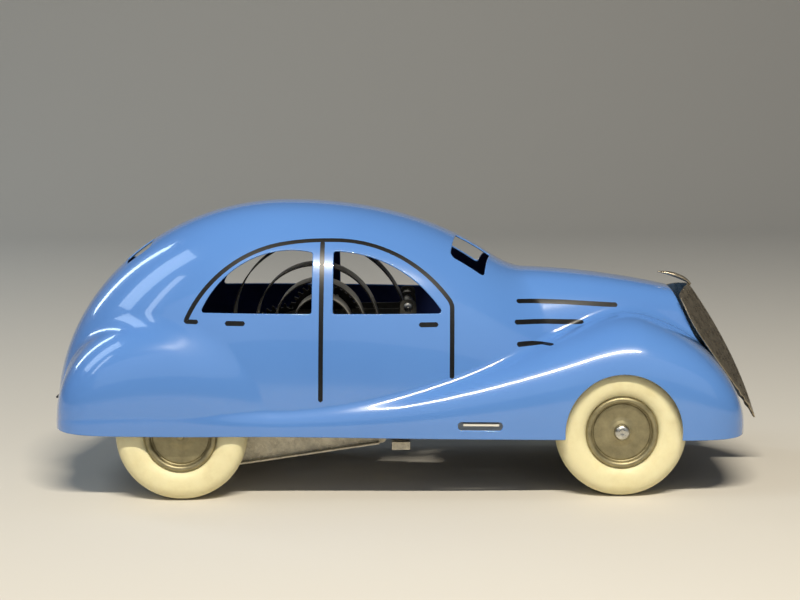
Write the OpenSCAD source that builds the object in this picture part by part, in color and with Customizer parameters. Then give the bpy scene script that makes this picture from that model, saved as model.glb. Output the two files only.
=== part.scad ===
// Clockwork tin saloon car: one-piece pressed body, tabbed base plate, open-spring motor,
// white rubber tyres on stamped hubs and a plated shield grille.
// Frame: +X is the car's nose, +Y its left side, +Z up. The origin is on the floor,
// midway between the axles, on the car's centre plane.

/* [Stance] */
// Distance between the front and rear axles
wheelbase = 137; // [136:0.5:138]
// Nose-down tilt of the body on its wheels, degrees
rake = 0.93; // [0.8:0.05:1.0]
// Height of the body's lower edge, midway between the axles
skirt_z = 20.3; // [20:0.1:20.6]

/* [Body] */
// Height of the roof above the body's lower edge
roof_h = 69.8; // [69:0.2:71]
// Place of the roof's highest point along the car
roof_x = -37; // [-38:0.5:-36]
// Length of the fastback behind the roof's highest point
tail_len = 76; // [75:0.5:77]
// Half width of the cabin at the lower edge
cabin_w = 40; // [39.5:0.1:40.5]
// Half width of the car over the front fenders
fender_w = 43; // [42.8:0.1:43.4]
// Thickness of the body sheet
sheet = 0.6; // [0.5:0.05:0.7]

/* [Wheels] */
// Outer diameter of a tyre
tyre_d = 41; // [40.6:0.1:41.4]
// Width of a tyre
tyre_w = 11; // [10.5:0.1:11.2]
// Distance from the centre plane to the middle of a tyre
wheel_y = 34.6; // [34.4:0.1:34.7]
// Diameter of both axles
axle_d = 2.5; // [2.4:0.05:2.6]

/* [Clockwork] */
// Gear module
gear_module = 0.65; // [0.64:0.005:0.66]
// Width of the mainspring strip
spring_w = 12; // [10:0.5:16]
// Thickness of the mainspring strip
spring_t = 0.4; // [0.3:0.05:0.5]
// Radius of the relaxed spring's outer turn
spring_r = 25.9; // [25.5:0.1:26.2]
// Turns of the relaxed spring
spring_turns = 4.5; // [4:0.5:6]
// Across the flats of the winding square
key_square = 2.1; // [2:0.05:2.1]

/* [Hidden] */
$fn = 48;
TINY = 0.01;
STATIONS = 48;
SECTION_STEPS = 36;
// The first and last station stand this far in from the ends
END_FACE = 0.2;
BLUE = [0.27, 0.50, 0.85];
GALVANISED = [0.72, 0.71, 0.66];
DARK_STEEL = [0.32, 0.31, 0.29];
BRASS = [0.80, 0.62, 0.28];
RUBBER_WHITE = [0.95, 0.93, 0.86];
HUB_GREY = [0.42, 0.41, 0.37];
SPRING_GREY = [0.55, 0.55, 0.53];

// Body stations, in the body's own level frame: x along the car, z up from the lower edge
TAIL_X = roof_x - tail_len;
FRONT_X = 109;
COWL_LEN = 93;
CABIN_PLAN_LEN = 120;
HOOD_H = 48.2;
HOOD_DROP = 0.0019;
HOOD_CREST_X = 32;
NOSE_HALF_W = 17.5;
NOSE_TOP = [88, 42];
NOSE_SLOPE = 0.45;
FENDER_PEAK_X = 60;
FENDER_H = 38;
SILL_H = 9.5;
FENDER_RISE = 27;
FENDER_RUN = 104;
FENDER_HIGH_X = 66;
REAR_FENDER_X = -70;
REAR_FENDER_H = 38;
REAR_FENDER_W = 42.5;
REAR_TAIL_LEN = 40;
// How square the tail's corners are in plan
TAIL_PLAN = 5;
REAR_FRONT_LEN = 31;

// Windows, in the same frame
SILL_Z = 37.1;
REAR_ARC = [-34.4, 25.9, 30.6];
FRONT_ARC = [-21.8, 14.3, 41.9];
PILLAR_X = [-27.7, -21.7];
WINDOW_CORNER = 1;
SCREEN_X = [15, 27];
SCREEN_Y = [4, 20.6];
BACKLIGHT_AT = [-85, 52];
BACKLIGHT_Y = [3, 12];
BACKLIGHT_H = 10.6;

// Base plate, in the same frame
TAB_REACH = 0.4;
PLATE_Z = 4.05;
PLATE_T = 0.5;
PLATE_X = [-106, 103];
PLATE_HALF_W = 39;
SIDE_TAB_X = [19, 30];
SIDE_SLOT = [17.1, 31.4, 2.3, 5.4];
END_TAB_HALF_W = 5;
MOTOR_GAP_X = [-84, 9];

// Wheels and axles
AXLE_R = axle_d / 2;
TYRE_R = tyre_d / 2;
RUN_FIT = 0.06;
HUB_R = 11.2;
TYRE_SEAT_R = 11;
REAR_AXLE = [-wheelbase / 2, TYRE_R];
FRONT_AXLE = [wheelbase / 2, TYRE_R];
ARCH_R = 18.35;
ARCH_CENTRE = FRONT_AXLE + [0.1, 0.7];
EAR_Y = 28;

// Clockwork, in the car's frame: [x, z] of each arbor
ARBOR = [-25, 51];
ARBOR_R = 1.5;
PIVOT_R = 1;
END_PLAY = 0.15;
GREAT_TEETH = 36;
SECOND_PINION_TEETH = 12;
SECOND_TEETH = 40;
THIRD_PINION_TEETH = 16;
THIRD_TEETH = 40;
AXLE_TEETH = 22;
MESH_1 = gear_module * (GREAT_TEETH + SECOND_PINION_TEETH) / 2;
MESH_2 = gear_module * (SECOND_TEETH + THIRD_PINION_TEETH) / 2;
MESH_3 = gear_module * (THIRD_TEETH + AXLE_TEETH) / 2;
SECOND_ARBOR = ARBOR + MESH_1 * heading(REAR_AXLE - ARBOR);
THIRD_ARBOR = circles_meet(SECOND_ARBOR, MESH_2, REAR_AXLE, MESH_3);
// Middle of each gear layer, and the gears' thickness
GREAT_Y = 1.6;
SECOND_Y = 4.6;
THIRD_Y = 7.8;
GEAR_T = 1.2;
PINION_T = 2.4;
// Inner faces of the three motor plates and their thickness
RIGHT_Y = -20;
MIDDLE_Y = -2;
LEFT_Y = 12;
MOTOR_T = 0.6;
SPRING_POST = [2.6, 57.7];
PILLARS = [[-5, 20.5], [-75, 28.5]];
PILLAR_R = 1.6;
STOP_PIVOT = [-22, 25.5];
CLICK_PIVOT_R = 8.4;
CLICK_PIN_R = 0.7;
RATCHET_R = 5.4;
RATCHET_TEETH = 12;
KEY_HOLE_R = 3.4;
KEY_Y = [35, 42.5, 54];

// ---------- small geometry helpers ----------

function clamp01(t) = min(1, max(0, t));
function ease(x, a, b) = let (t = clamp01((x - a) / (b - a))) t * t * (3 - 2 * t);
function heading(v) = v / norm(v);
function smooth_max(a, b, k) =
    let (h = clamp01(0.5 + 0.5 * (a - b) / k)) b + (a - b) * h + k * h * (1 - h);
function smooth_min(a, b, k) = -smooth_max(-a, -b, k);
// Superellipse falloff: 1 at d = 0, 0 at d = len
function falloff(d, len, n) = pow(1 - pow(min(1, abs(d) / len), n), 1 / n);
// Radius of a superellipse of half width w and height h, in the direction [c, s]
function oval(c, s, w, h, n) =
    pow(pow(c / max(w, TINY), n) + pow(s / max(h, TINY), n), -1 / n);
// Where two circles meet, on the left of the way from a to b
function circles_meet(a, ra, b, rb) =
    let (d = norm(b - a), u = heading(b - a), s = (ra * ra - rb * rb + d * d) / (2 * d))
    a + s * u + sqrt(ra * ra - s * s) * [-u[1], u[0]];
// Replaces each corner of an outline by an arc; a point is [x, y, corner radius]
function arc_corner(before, at, after, r) =
    let (u = heading(before - at), v = heading(after - at),
         half = acos(u * v) / 2, back = r / tan(half), middle = heading(u + v) * r / sin(half),
         p = at + u * back - at - middle, q = at + v * back - at - middle,
         a0 = atan2(p[1], p[0]), turn = atan2(q[1], q[0]) - a0,
         sweep = turn > 180 ? turn - 360 : turn < -180 ? turn + 360 : turn)
    [for (k = [0:6]) at + middle + r * [cos(a0 + sweep * k / 6), sin(a0 + sweep * k / 6)]];
function rounded(points) =
    let (n = len(points), at = [for (p = points) [p[0], p[1]]])
    [for (i = [0:n - 1])
        each points[i][2] > 0
            ? arc_corner(at[(i + n - 1) % n], at[i], at[(i + 1) % n], points[i][2])
            : [at[i]]];

// Moves a drawing in the body's level frame to its place on the wheels
module on_body() translate([0, 0, skirt_z]) rotate([0, rake, 0]) children();
// Extrudes an [x, z] drawing across the car from y0 to y1
module across(y0, y1) translate([0, y1, 0]) rotate([90, 0, 0]) linear_extrude(y1 - y0) children();
// A shaft across the car at [x, z]
module shaft(at, r, y0, y1) translate([at[0], y1, at[1]]) rotate([90, 0, 0]) cylinder(r = r, h = y1 - y0);
module on_both_sides() {
    children();
    mirror([0, 1, 0]) children();
}

// ---------- body surface: four smooth volumes blended into one ----------

// Each volume's radius at station x, in the direction [c, s], for a skin set in by t
function cabin_r(x, c, s, t) =
    let (d = x - roof_x, back = d < 0)
    oval(c, s,
         (cabin_w - t) * (back ? falloff(d, tail_len - t, 2.5) : falloff(d, CABIN_PLAN_LEN, 2.3)),
         (roof_h - t) * (back ? falloff(d, tail_len - t, 2) : falloff(d, COWL_LEN, 2.2)), 2.4);
function hood_r(x, c, s, t) =
    let (top = HOOD_H - t - HOOD_DROP * pow(x - HOOD_CREST_X, 2),
         half_w = NOSE_HALF_W - t + (90 - x) * 0.2,
         nose = max(TINY, NOSE_TOP[1] - t - (x - NOSE_TOP[0]) / NOSE_SLOPE),
         r = oval(c, s, half_w, top, 2.6 + 0.9 * ease(x, 30, 90)))
    max(0, smooth_min(r, nose / max(s, 0.001), 1.2)) * ease(x, -35, 15);
function front_fender_r(x, c, s, t) =
    let (rise = SILL_H - t + FENDER_RISE * pow(max(0, 1 - (FENDER_HIGH_X - x) / FENDER_RUN), 1.5),
         ahead = max(0, x - FENDER_PEAK_X), behind = min(0, x - REAR_FENDER_X),
         fall = (FENDER_H - t) * falloff(ahead, FRONT_X - FENDER_PEAK_X - t, 2),
         half_w = fender_w - 1.5 - t + 1.5 * ease(x, -40, 20))
    oval(c, s,
         half_w * falloff(behind, REAR_TAIL_LEN - t, TAIL_PLAN)
                * falloff(ahead, FRONT_X - FENDER_PEAK_X - t, 6),
         smooth_min(rise, fall, 5) * falloff(behind, REAR_TAIL_LEN - t, 2.5), 4);
function rear_fender_r(x, c, s, t) =
    let (d = x - REAR_FENDER_X, back = d < 0,
         h = (REAR_FENDER_H - t) * falloff(d, back ? REAR_TAIL_LEN - t : REAR_FRONT_LEN, 2.2),
         half_w = (REAR_FENDER_W - t)
             * (back ? falloff(d, REAR_TAIL_LEN - t, TAIL_PLAN)
                     : 1 - 0.12 * pow(clamp01(d / REAR_FRONT_LEN), 2)))
    h < 0.05 ? 0 : oval(c, s, half_w, h, 3.5);
function body_r(x, angle, t) =
    let (c = abs(cos(angle)), s = abs(sin(angle)),
         cabin_and_hood = smooth_max(cabin_r(x, c, s, t), hood_r(x, c, s, t), 5.5),
         with_rear = smooth_max(cabin_and_hood, rear_fender_r(x, c, s, t), 3))
    smooth_max(with_rear, front_fender_r(x, c, s, t), 2.5);

// A closed solid under the body surface set in by t, its flat underside at z = -drop
module under_surface(t, drop) {
    x0 = TAIL_X + t + END_FACE;
    x1 = FRONT_X - t - END_FACE;
    ring = SECTION_STEPS + 3;
    points = [
        for (i = [0:STATIONS])
            let (x = (x0 + x1) / 2 - (x1 - x0) / 2 * cos(180 * i / STATIONS),
                 edge = body_r(x, 0, t))
            each [
                [x, -edge, -drop],
                for (j = [0:SECTION_STEPS])
                    let (a = 180 * j / SECTION_STEPS, r = body_r(x, a, t))
                    [x, -r * cos(a), r * sin(a)],
                [x, edge, -drop]
            ]
    ];
    sides = [
        for (i = [0:STATIONS - 1], j = [0:ring - 1])
            let (k = (j + 1) % ring, a = i * ring + j, b = i * ring + k)
            each [[a, b, b + ring], [a, b + ring, a + ring]]
    ];
    caps = [
        [for (j = [ring - 1:-1:0]) j],
        [for (j = [0:ring - 1]) STATIONS * ring + j]
    ];
    polyhedron(points = points, faces = concat(sides, caps), convexity = 6);
}

module window_outline(arc, x0, x1) {
    offset(r = WINDOW_CORNER) offset(delta = -WINDOW_CORNER) intersection() {
        translate([arc[0], arc[1]]) circle(r = arc[2], $fn = 96);
        translate([x0, SILL_Z]) square([x1 - x0, 60]);
    }
}

module windscreen_pane() {
    hull()
        for (x = SCREEN_X, y = SCREEN_Y)
            translate([x + (x == SCREEN_X[0] ? 1 : -1), y + (y == SCREEN_Y[0] ? 1 : -1), 44])
                cylinder(r = 1, h = 30, $fn = 24);
}

module backlight_pane() {
    translate([BACKLIGHT_AT[0], 0, BACKLIGHT_AT[1]]) rotate([0, -45, 0])
        hull()
            for (v = [-1, 1], y = BACKLIGHT_Y)
                translate([v * (BACKLIGHT_H / 2 - 1.5), y + (y == BACKLIGHT_Y[0] ? 1.5 : -1.5), -6])
                    cylinder(r = 1.5, h = 14, $fn = 24);
}

// Slots that the base plate's tabs pass through
module tab_slots() {
    on_both_sides() translate([SIDE_SLOT[0], 30, SIDE_SLOT[2]])
        cube([SIDE_SLOT[1] - SIDE_SLOT[0], 20, SIDE_SLOT[3] - SIDE_SLOT[2]]);
    translate([TAIL_X - 5, -END_TAB_HALF_W - 0.5, SIDE_SLOT[2]])
        cube([12, 2 * END_TAB_HALF_W + 1, SIDE_SLOT[3] - SIDE_SLOT[2]]);
    translate([FRONT_X - 8, -END_TAB_HALF_W - 0.5, SIDE_SLOT[2]])
        cube([12, 2 * END_TAB_HALF_W + 1, SIDE_SLOT[3] - SIDE_SLOT[2]]);
}

module body_shell() {
    color(BLUE) difference() {
        on_body() difference() {
            under_surface(0, 0);
            under_surface(sheet, 1);
            across(-60, 60) window_outline(REAR_ARC, -80, PILLAR_X[0]);
            across(-60, 60) window_outline(FRONT_ARC, PILLAR_X[1], 40);
            on_both_sides() windscreen_pane();
            on_both_sides() backlight_pane();
            tab_slots();
            grille_tabs(0.25);
        }
        on_both_sides() shaft(ARCH_CENTRE, ARCH_R, 30, 50);
        shaft(ARBOR, KEY_HOLE_R, 30, 50);
    }
}

// ---------- grille ----------

GRILLE_STEPS = 18;
GRILLE_SPAN = 12;
GRILLE_TIP_Z = -1.8;
GRILLE_H = 44.8;
GRILLE_HALF_W = 16.5;
GRILLE_T = 0.6;
GRILLE_TAB_Z = [22, 33];
GRILLE_TAB_Y = 13.2;

// Centreline of the shield: how far forward its ridge stands at height z
function ridge_x(z) = 117.6 - 0.334 * z - 0.00467 * z * z;
// How far forward the body's flat nose stands at height z
function nose_x(z) = NOSE_TOP[0] + NOSE_SLOPE * (NOSE_TOP[1] - z);
// How far the shield falls back from its ridge at y
function sweep_back(y) = sqrt(pow(0.6 * y, 2) + 2.25) - 1.5;
function shield_half_w(v) =
    0.7 + (GRILLE_HALF_W - 0.7) * sin(90 * min(1, v / 0.8)) - 1.5 * ease(v, 0.82, 1);
function shield_point(v, u, back) =
    let (y = u * shield_half_w(v), z = GRILLE_TIP_Z + GRILLE_H * v - 3 * v * pow(u, 2) * ease(v, 0.7, 1))
    [smooth_max(ridge_x(z) - sweep_back(y), nose_x(z) + GRILLE_T + 0.4, 1) - back, y, z];

module grille_tabs(slack) {
    for (z = GRILLE_TAB_Z, side = [-1, 1])
        translate([ridge_x(z) - sweep_back(GRILLE_TAB_Y) - 4.5 - slack,
                   side * GRILLE_TAB_Y - 1.2 - slack, z - 0.3 - slack])
            cube([4.4 + slack, 2.4 + 2 * slack, 0.6 + 2 * slack]);
}

module radiator_grille() {
    ring = GRILLE_SPAN + 1;
    skin = ring * (GRILLE_STEPS + 1);
    points = [
        for (back = [0, GRILLE_T], i = [0:GRILLE_STEPS], j = [0:GRILLE_SPAN])
            shield_point(i / GRILLE_STEPS, 2 * j / GRILLE_SPAN - 1, back)
    ];
    faces = [
        for (i = [0:GRILLE_STEPS - 1], j = [0:GRILLE_SPAN - 1])
            let (a = i * ring + j)
            each [[a, a + ring, a + 1], [a + 1, a + ring, a + ring + 1],
                  [skin + a, skin + a + 1, skin + a + ring],
                  [skin + a + 1, skin + a + ring + 1, skin + a + ring]],
        for (i = [0:GRILLE_STEPS - 1], right = [0, 1])
            let (a = i * ring + right * GRILLE_SPAN, b = a + ring)
            each right == 1 ? [[a, b, skin + b], [a, skin + b, skin + a]]
                            : [[a, skin + b, b], [a, skin + a, skin + b]],
        for (j = [0:GRILLE_SPAN - 1], top = [0, 1])
            let (a = top * GRILLE_STEPS * ring + j, b = a + 1)
            each top == 1 ? [[a, skin + b, b], [a, skin + a, skin + b]]
                          : [[a, b, skin + b], [a, skin + b, skin + a]]
    ];
    color(DARK_STEEL) on_body() union() {
        polyhedron(points = points, faces = faces, convexity = 4);
        grille_tabs(0);
    }
}

// A pointed blade that rises from the top of the grille and sweeps back over the bonnet
module bonnet_ornament() {
    outline = [[94.9, 43.05], [93.8, 44], [91.6, 44.7], [88.8, 45.8], [84.1, 46.9], [84.3, 46.1],
               [87.4, 44.8], [90.8, 43.9]];
    color(DARK_STEEL) on_body() across(-1.6, 1.6) polygon(outline);
}

// ---------- base plate and front axle ----------

module plate_outline() {
    polygon(rounded([[PLATE_X[0], -24, 8], [PLATE_X[0], 24, 8], [-92, PLATE_HALF_W - 2, 10],
                     [-60, PLATE_HALF_W, 2], [95, PLATE_HALF_W - 3, 6], [PLATE_X[1], 26, 6],
                     [PLATE_X[1], -26, 6], [95, 3 - PLATE_HALF_W, 6], [-60, -PLATE_HALF_W, 2],
                     [-92, 2 - PLATE_HALF_W, 10]]));
}

module plate_tabs() {
    translate([SIDE_TAB_X[0], -fender_w - TAB_REACH])
        square([SIDE_TAB_X[1] - SIDE_TAB_X[0], 2 * (fender_w + TAB_REACH)]);
    translate([TAIL_X - 0.8, -END_TAB_HALF_W]) square([20, 2 * END_TAB_HALF_W]);
    translate([FRONT_X - 20, -END_TAB_HALF_W]) square([20.6, 2 * END_TAB_HALF_W]);
}

// Room for the tyres, open towards the sides
module wheel_gaps() {
    inner_y = EAR_Y + 0.8;
    room = 2.5;
    for (x = [-wheelbase / 2, wheelbase / 2], side = [0, 1])
        mirror([0, side]) translate([x - TYRE_R - room, inner_y])
            square([2 * (TYRE_R + room), fender_w]);
}

module base_plate() {
    color(GALVANISED) difference() {
        union() {
            on_body() translate([0, 0, PLATE_Z]) linear_extrude(PLATE_T) difference() {
                union() {
                    plate_outline();
                    plate_tabs();
                }
                wheel_gaps();
                translate([MOTOR_GAP_X[0], RIGHT_Y - MOTOR_T])
                    square([MOTOR_GAP_X[1] - MOTOR_GAP_X[0], LEFT_Y - RIGHT_Y + 2 * MOTOR_T]);
            }
            front_axle_ears();
            motor_ears();
        }
        shaft(FRONT_AXLE, AXLE_R, -30, 30);
        rivet_row() rivet_hole();
    }
}

// Lugs folded down from the plate to hold the front axle
module front_axle_ears() {
    top = skirt_z + PLATE_Z - FRONT_AXLE[0] * sin(rake) + PLATE_T / 2;
    for (side = [-1, 1])
        across(side * EAR_Y - 0.5, side * EAR_Y + 0.5)
            polygon(rounded([[FRONT_AXLE[0] - 4, top, 0], [FRONT_AXLE[0] - 3.2, FRONT_AXLE[1] - 3, 2],
                             [FRONT_AXLE[0] + 3.2, FRONT_AXLE[1] - 3, 2],
                             [FRONT_AXLE[0] + 4, top, 0]]));
}

// Lugs folded up from the plate on the outer faces of the motor's side plates
MOTOR_EAR_X = [-56.5, -8];
MOTOR_EAR_H = 7;
function plate_top(x) = skirt_z + PLATE_Z + PLATE_T / 2 - x * sin(rake);
module motor_ears() {
    for (x = MOTOR_EAR_X, right = [true, false])
        let (y = right ? RIGHT_Y - MOTOR_T - PLATE_T : LEFT_Y + MOTOR_T)
        across(y, y + PLATE_T)
            polygon(rounded([[x - 4, plate_top(x), 0], [x - 4, plate_top(x) + MOTOR_EAR_H, 2],
                             [x + 4, plate_top(x) + MOTOR_EAR_H, 2], [x + 4, plate_top(x), 0]]));
}

RIVET_R = 0.9;
module rivet_row() {
    for (x = MOTOR_EAR_X)
        translate([x, 0, plate_top(x) + MOTOR_EAR_H - 3]) children();
}
module rivet_hole() rotate([90, 0, 0]) cylinder(r = RIVET_R, h = 80, center = true);

// A rivet through a lug and a motor plate; its head faces outwards
module plate_rivet(y0, y1, head_at) {
    translate([0, y1, 0]) rotate([90, 0, 0]) cylinder(r = RIVET_R, h = y1 - y0);
    translate([0, head_at, 0]) rotate([head_at < 0 ? 90 : -90, 0, 0]) rotate_extrude()
        polygon([[0, 0], [1.7, 0], [1.5, 0.5], [1, 0.8], [0, 0.95]]);
}

module plate_rivets() {
    color(GALVANISED) rivet_row() {
        plate_rivet(RIGHT_Y - MOTOR_T - PLATE_T, RIGHT_Y, RIGHT_Y - MOTOR_T - PLATE_T);
        plate_rivet(LEFT_Y, LEFT_Y + MOTOR_T + PLATE_T, LEFT_Y + MOTOR_T + PLATE_T);
    }
}

// ---------- wheels ----------

HUB_BOSS_Y = 3.6;
HUB_BACK_Y = wheel_y - EAR_Y - 0.8;
AXLE_HEAD_R = 2.5;

module dome(r, h) {
    rotate_extrude() polygon([[0, 0], for (k = [0:6]) [r * cos(15 * k), h * sin(15 * k)]]);
}

module front_axle() {
    reach = wheel_y + HUB_BOSS_Y + END_PLAY;
    color(GALVANISED) union() {
        shaft(FRONT_AXLE, AXLE_R, -reach, reach);
        for (side = [-1, 1])
            translate([FRONT_AXLE[0], side * reach, FRONT_AXLE[1]]) rotate([-90 * side, 0, 0])
                dome(AXLE_HEAD_R, 1.5);
    }
}

module rear_axle() {
    reach = wheel_y + HUB_BOSS_Y + 0.4;
    color(GALVANISED) union() {
        shaft(REAR_AXLE, AXLE_R, -reach, reach);
        for (side = [-1, 1])
            translate([REAR_AXLE[0], side * reach, REAR_AXLE[1]]) rotate([-90 * side, 0, 0])
                dome(AXLE_R, 0.6);
    }
}

// Half section of a hub, [radius, distance outwards]; its bore is at the given radius
function hub_section(bore) = [
    [bore, -HUB_BACK_Y], [3, -HUB_BACK_Y], [3, 2.2], [8.6, 2.2], [9.2, 2.5], [9.5, 3.9],
    [10.3, 3.9], [10.3, -3.9], [10, -4.2], [10, -4.7], [HUB_R, -4.7], [HUB_R, -4.1],
    [TYRE_SEAT_R, -3.8],
    [TYRE_SEAT_R, 3.8], [HUB_R, 4.1], [HUB_R, 4.5], [HUB_R - 0.5, 4.85], [9.6, 4.8],
    [9, 4.2], [8.6, 3.1], [3.4, 3], [3, HUB_BOSS_Y], [bore, HUB_BOSS_Y]
];

module hub(axle, side, bore) {
    translate([axle[0], side * wheel_y, axle[1]]) rotate([-90 * side, 0, 0])
        rotate_extrude($fn = 96) polygon(hub_section(bore));
}

module tyre(axle, side) {
    middle = (TYRE_R + TYRE_SEAT_R - 0.5) / 2;
    half_h = TYRE_R - middle;
    squareness = 2.6;
    translate([axle[0], side * wheel_y, axle[1]]) rotate([-90 * side, 0, 0])
        rotate_extrude($fn = 96) intersection() {
            polygon([for (k = [0:35]) let (c = cos(10 * k), s = sin(10 * k))
                [middle + half_h * sign(c) * pow(abs(c), 2 / squareness),
                 tyre_w / 2 * sign(s) * pow(abs(s), 2 / squareness)]]);
            translate([TYRE_SEAT_R, -tyre_w]) square([20, 2 * tyre_w]);
        }
}

module front_left_hub() color(HUB_GREY) hub(FRONT_AXLE, 1, AXLE_R + RUN_FIT);
module front_right_hub() color(HUB_GREY) hub(FRONT_AXLE, -1, AXLE_R + RUN_FIT);
module rear_left_hub() color(HUB_GREY) hub(REAR_AXLE, 1, AXLE_R);
module rear_right_hub() color(HUB_GREY) hub(REAR_AXLE, -1, AXLE_R);
module front_left_tyre() color(RUBBER_WHITE) tyre(FRONT_AXLE, 1);
module front_right_tyre() color(RUBBER_WHITE) tyre(FRONT_AXLE, -1);
module rear_left_tyre() color(RUBBER_WHITE) tyre(REAR_AXLE, 1);
module rear_right_tyre() color(RUBBER_WHITE) tyre(REAR_AXLE, -1);

// ---------- motor frame ----------

// The side plates' straight lower edge, rear and front corners
PLATE_LOW = [[-66, 5.4], [-5.6, 13.9]];
FLANGE_W = 2;
FLANGE_T = 0.5;
// Top edge that all three plates share: a lug for the spring post, then falling to the rear
PLATE_TOP = [[5.2, 54.5, 0.4], [5.2, 60.1, 2], [0, 60.1, 2], [0, 54.5, 0.8],
             [-34, 54.5, 6], [-46, 50.5, 6], [-78, 33.5, 6]];

// The side plates hang below the body, their lower edge rising to the front
module side_plate_outline() {
    lower = [[-77, 13.5, 6], [each PLATE_LOW[0], 4], [each PLATE_LOW[1], 1.2], [-2.6, 17.3, 2]];
    polygon(rounded(concat(lower, PLATE_TOP)));
}

module middle_plate_outline() {
    lower = [[-80, 17.5, 6], [-60, 15.5, 6], [-24, 20.5, 4], [-2.6, 17, 2]];
    polygon(rounded(concat(lower, PLATE_TOP)));
}

module side_plate_holes() {
    translate(ARBOR) circle(r = ARBOR_R + RUN_FIT);
    translate(REAR_AXLE) circle(r = AXLE_R + RUN_FIT);
    for (p = concat(PILLARS, [SPRING_POST])) translate(p) circle(r = PIVOT_R);
}

// A stiffening strip folded out along the straight lower edge
module motor_flange(y) {
    along = PLATE_LOW[1] - PLATE_LOW[0];
    inset = 4;
    front_inset = 1.4;
    translate([PLATE_LOW[0][0], y, PLATE_LOW[0][1]]) rotate([0, -atan2(along[1], along[0]), 0])
        translate([inset, 0, 0]) cube([norm(along) - inset - front_inset, FLANGE_W, FLANGE_T]);
}

module motor_plate_right() {
    color(GALVANISED) union() {
        difference() {
            across(RIGHT_Y - MOTOR_T, RIGHT_Y) difference() {
                side_plate_outline();
                side_plate_holes();
            }
            rivet_row() rivet_hole();
        }
        motor_flange(RIGHT_Y - MOTOR_T - FLANGE_W);
    }
}

module motor_plate_left() {
    color(GALVANISED) union() {
        difference() {
            across(LEFT_Y, LEFT_Y + MOTOR_T) difference() {
                side_plate_outline();
                side_plate_holes();
                for (p = [SECOND_ARBOR, THIRD_ARBOR]) translate(p) circle(r = PIVOT_R + RUN_FIT);
            }
            rivet_row() rivet_hole();
        }
        motor_flange(LEFT_Y + MOTOR_T);
    }
}

module motor_plate_middle() {
    color(GALVANISED) across(MIDDLE_Y, MIDDLE_Y + MOTOR_T) difference() {
        middle_plate_outline();
        translate(ARBOR) circle(r = ARBOR_R + RUN_FIT);
        translate(REAR_AXLE) circle(r = AXLE_R + 0.5);
        for (p = [SECOND_ARBOR, THIRD_ARBOR]) translate(p) circle(r = PIVOT_R + RUN_FIT);
        for (p = concat(PILLARS, [SPRING_POST])) translate(p) circle(r = PILLAR_R);
        translate(STOP_PIVOT) circle(r = PIVOT_R);
    }
}

// Spacers with shouldered ends riveted over; the upper front one holds the spring's outer end
module plate_pillars() {
    color(GALVANISED)
        for (p = concat(PILLARS, [SPRING_POST])) {
            shaft(p, PILLAR_R, RIGHT_Y, LEFT_Y);
            shaft(p, PIVOT_R, RIGHT_Y - MOTOR_T, LEFT_Y + MOTOR_T);
            translate([p[0], RIGHT_Y - MOTOR_T, p[1]]) rotate([90, 0, 0]) dome(1.5, 0.5);
            translate([p[0], LEFT_Y + MOTOR_T, p[1]]) rotate([-90, 0, 0]) dome(1.5, 0.5);
        }
}

// ---------- mainspring and winding ----------

SPRING_STEPS = 150;
SPRING_SHIFT = 4;
SPRING_END_ANGLE = 13;
SPRING_IN_R = 2.9;
SPRING_REACH = 5;

// A point on the spring's middle line; t runs from 0 at the arbor to 1 at the post. The turns
// lie evenly, sagging to the rear, and the last part swings out by SPRING_REACH to the post.
function coil_point(t, offset_r) =
    let (r = SPRING_IN_R + (spring_r - SPRING_IN_R) * t + SPRING_REACH * pow(t, 12) + offset_r,
         a = SPRING_END_ANGLE + (1 - t) * spring_turns * 360)
    ARBOR + [r * cos(a) - SPRING_SHIFT * t, r * sin(a)];

module mainspring() {
    mid_y = (RIGHT_Y + MIDDLE_Y) / 2;
    color(SPRING_GREY) across(mid_y - spring_w / 2, mid_y + spring_w / 2)
        difference() {
            polygon(concat(
                [for (i = [0:SPRING_STEPS]) coil_point(i / SPRING_STEPS, spring_t / 2)],
                [for (i = [SPRING_STEPS:-1:0]) coil_point(i / SPRING_STEPS, -spring_t / 2)]));
            translate(SPRING_POST) circle(r = PILLAR_R + 0.05);
        }
}

module square_end(y0, y1, flats) {
    translate([ARBOR[0] - flats / 2, y0, ARBOR[1] - flats / 2]) cube([flats, y1 - y0, flats]);
}

// Its thick part carries the spring's inner end; a collar keeps the great wheel in place
module spring_arbor() {
    color(GALVANISED) union() {
        shaft(ARBOR, ARBOR_R, RIGHT_Y - MOTOR_T - 0.8, LEFT_Y + MOTOR_T + 0.8);
        shaft(ARBOR, SPRING_IN_R - spring_t / 2 - 0.3, RIGHT_Y + END_PLAY, MIDDLE_Y - END_PLAY);
        shaft(ARBOR, 2.6, MIDDLE_Y + MOTOR_T + END_PLAY, GREAT_Y - GEAR_T / 2 - END_PLAY);
        square_end(LEFT_Y + MOTOR_T, KEY_Y[1] - 1, key_square);
    }
}

function ratchet_outline() = [
    for (k = [0:RATCHET_TEETH - 1]) let (a = 360 / RATCHET_TEETH)
        each [RATCHET_R * [cos(k * a), sin(k * a)],
              (RATCHET_R - 1) * [cos((k + 0.12) * a), sin((k + 0.12) * a)]]
];

RATCHET_Y = GREAT_Y + GEAR_T / 2 + 0.15;
RATCHET_T = 0.8;
module ratchet_wheel() {
    color(BRASS) translate([ARBOR[0], 0, ARBOR[1]])
        across(RATCHET_Y, RATCHET_Y + RATCHET_T) difference() {
            polygon(ratchet_outline());
            circle(r = ARBOR_R);
        }
}

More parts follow.
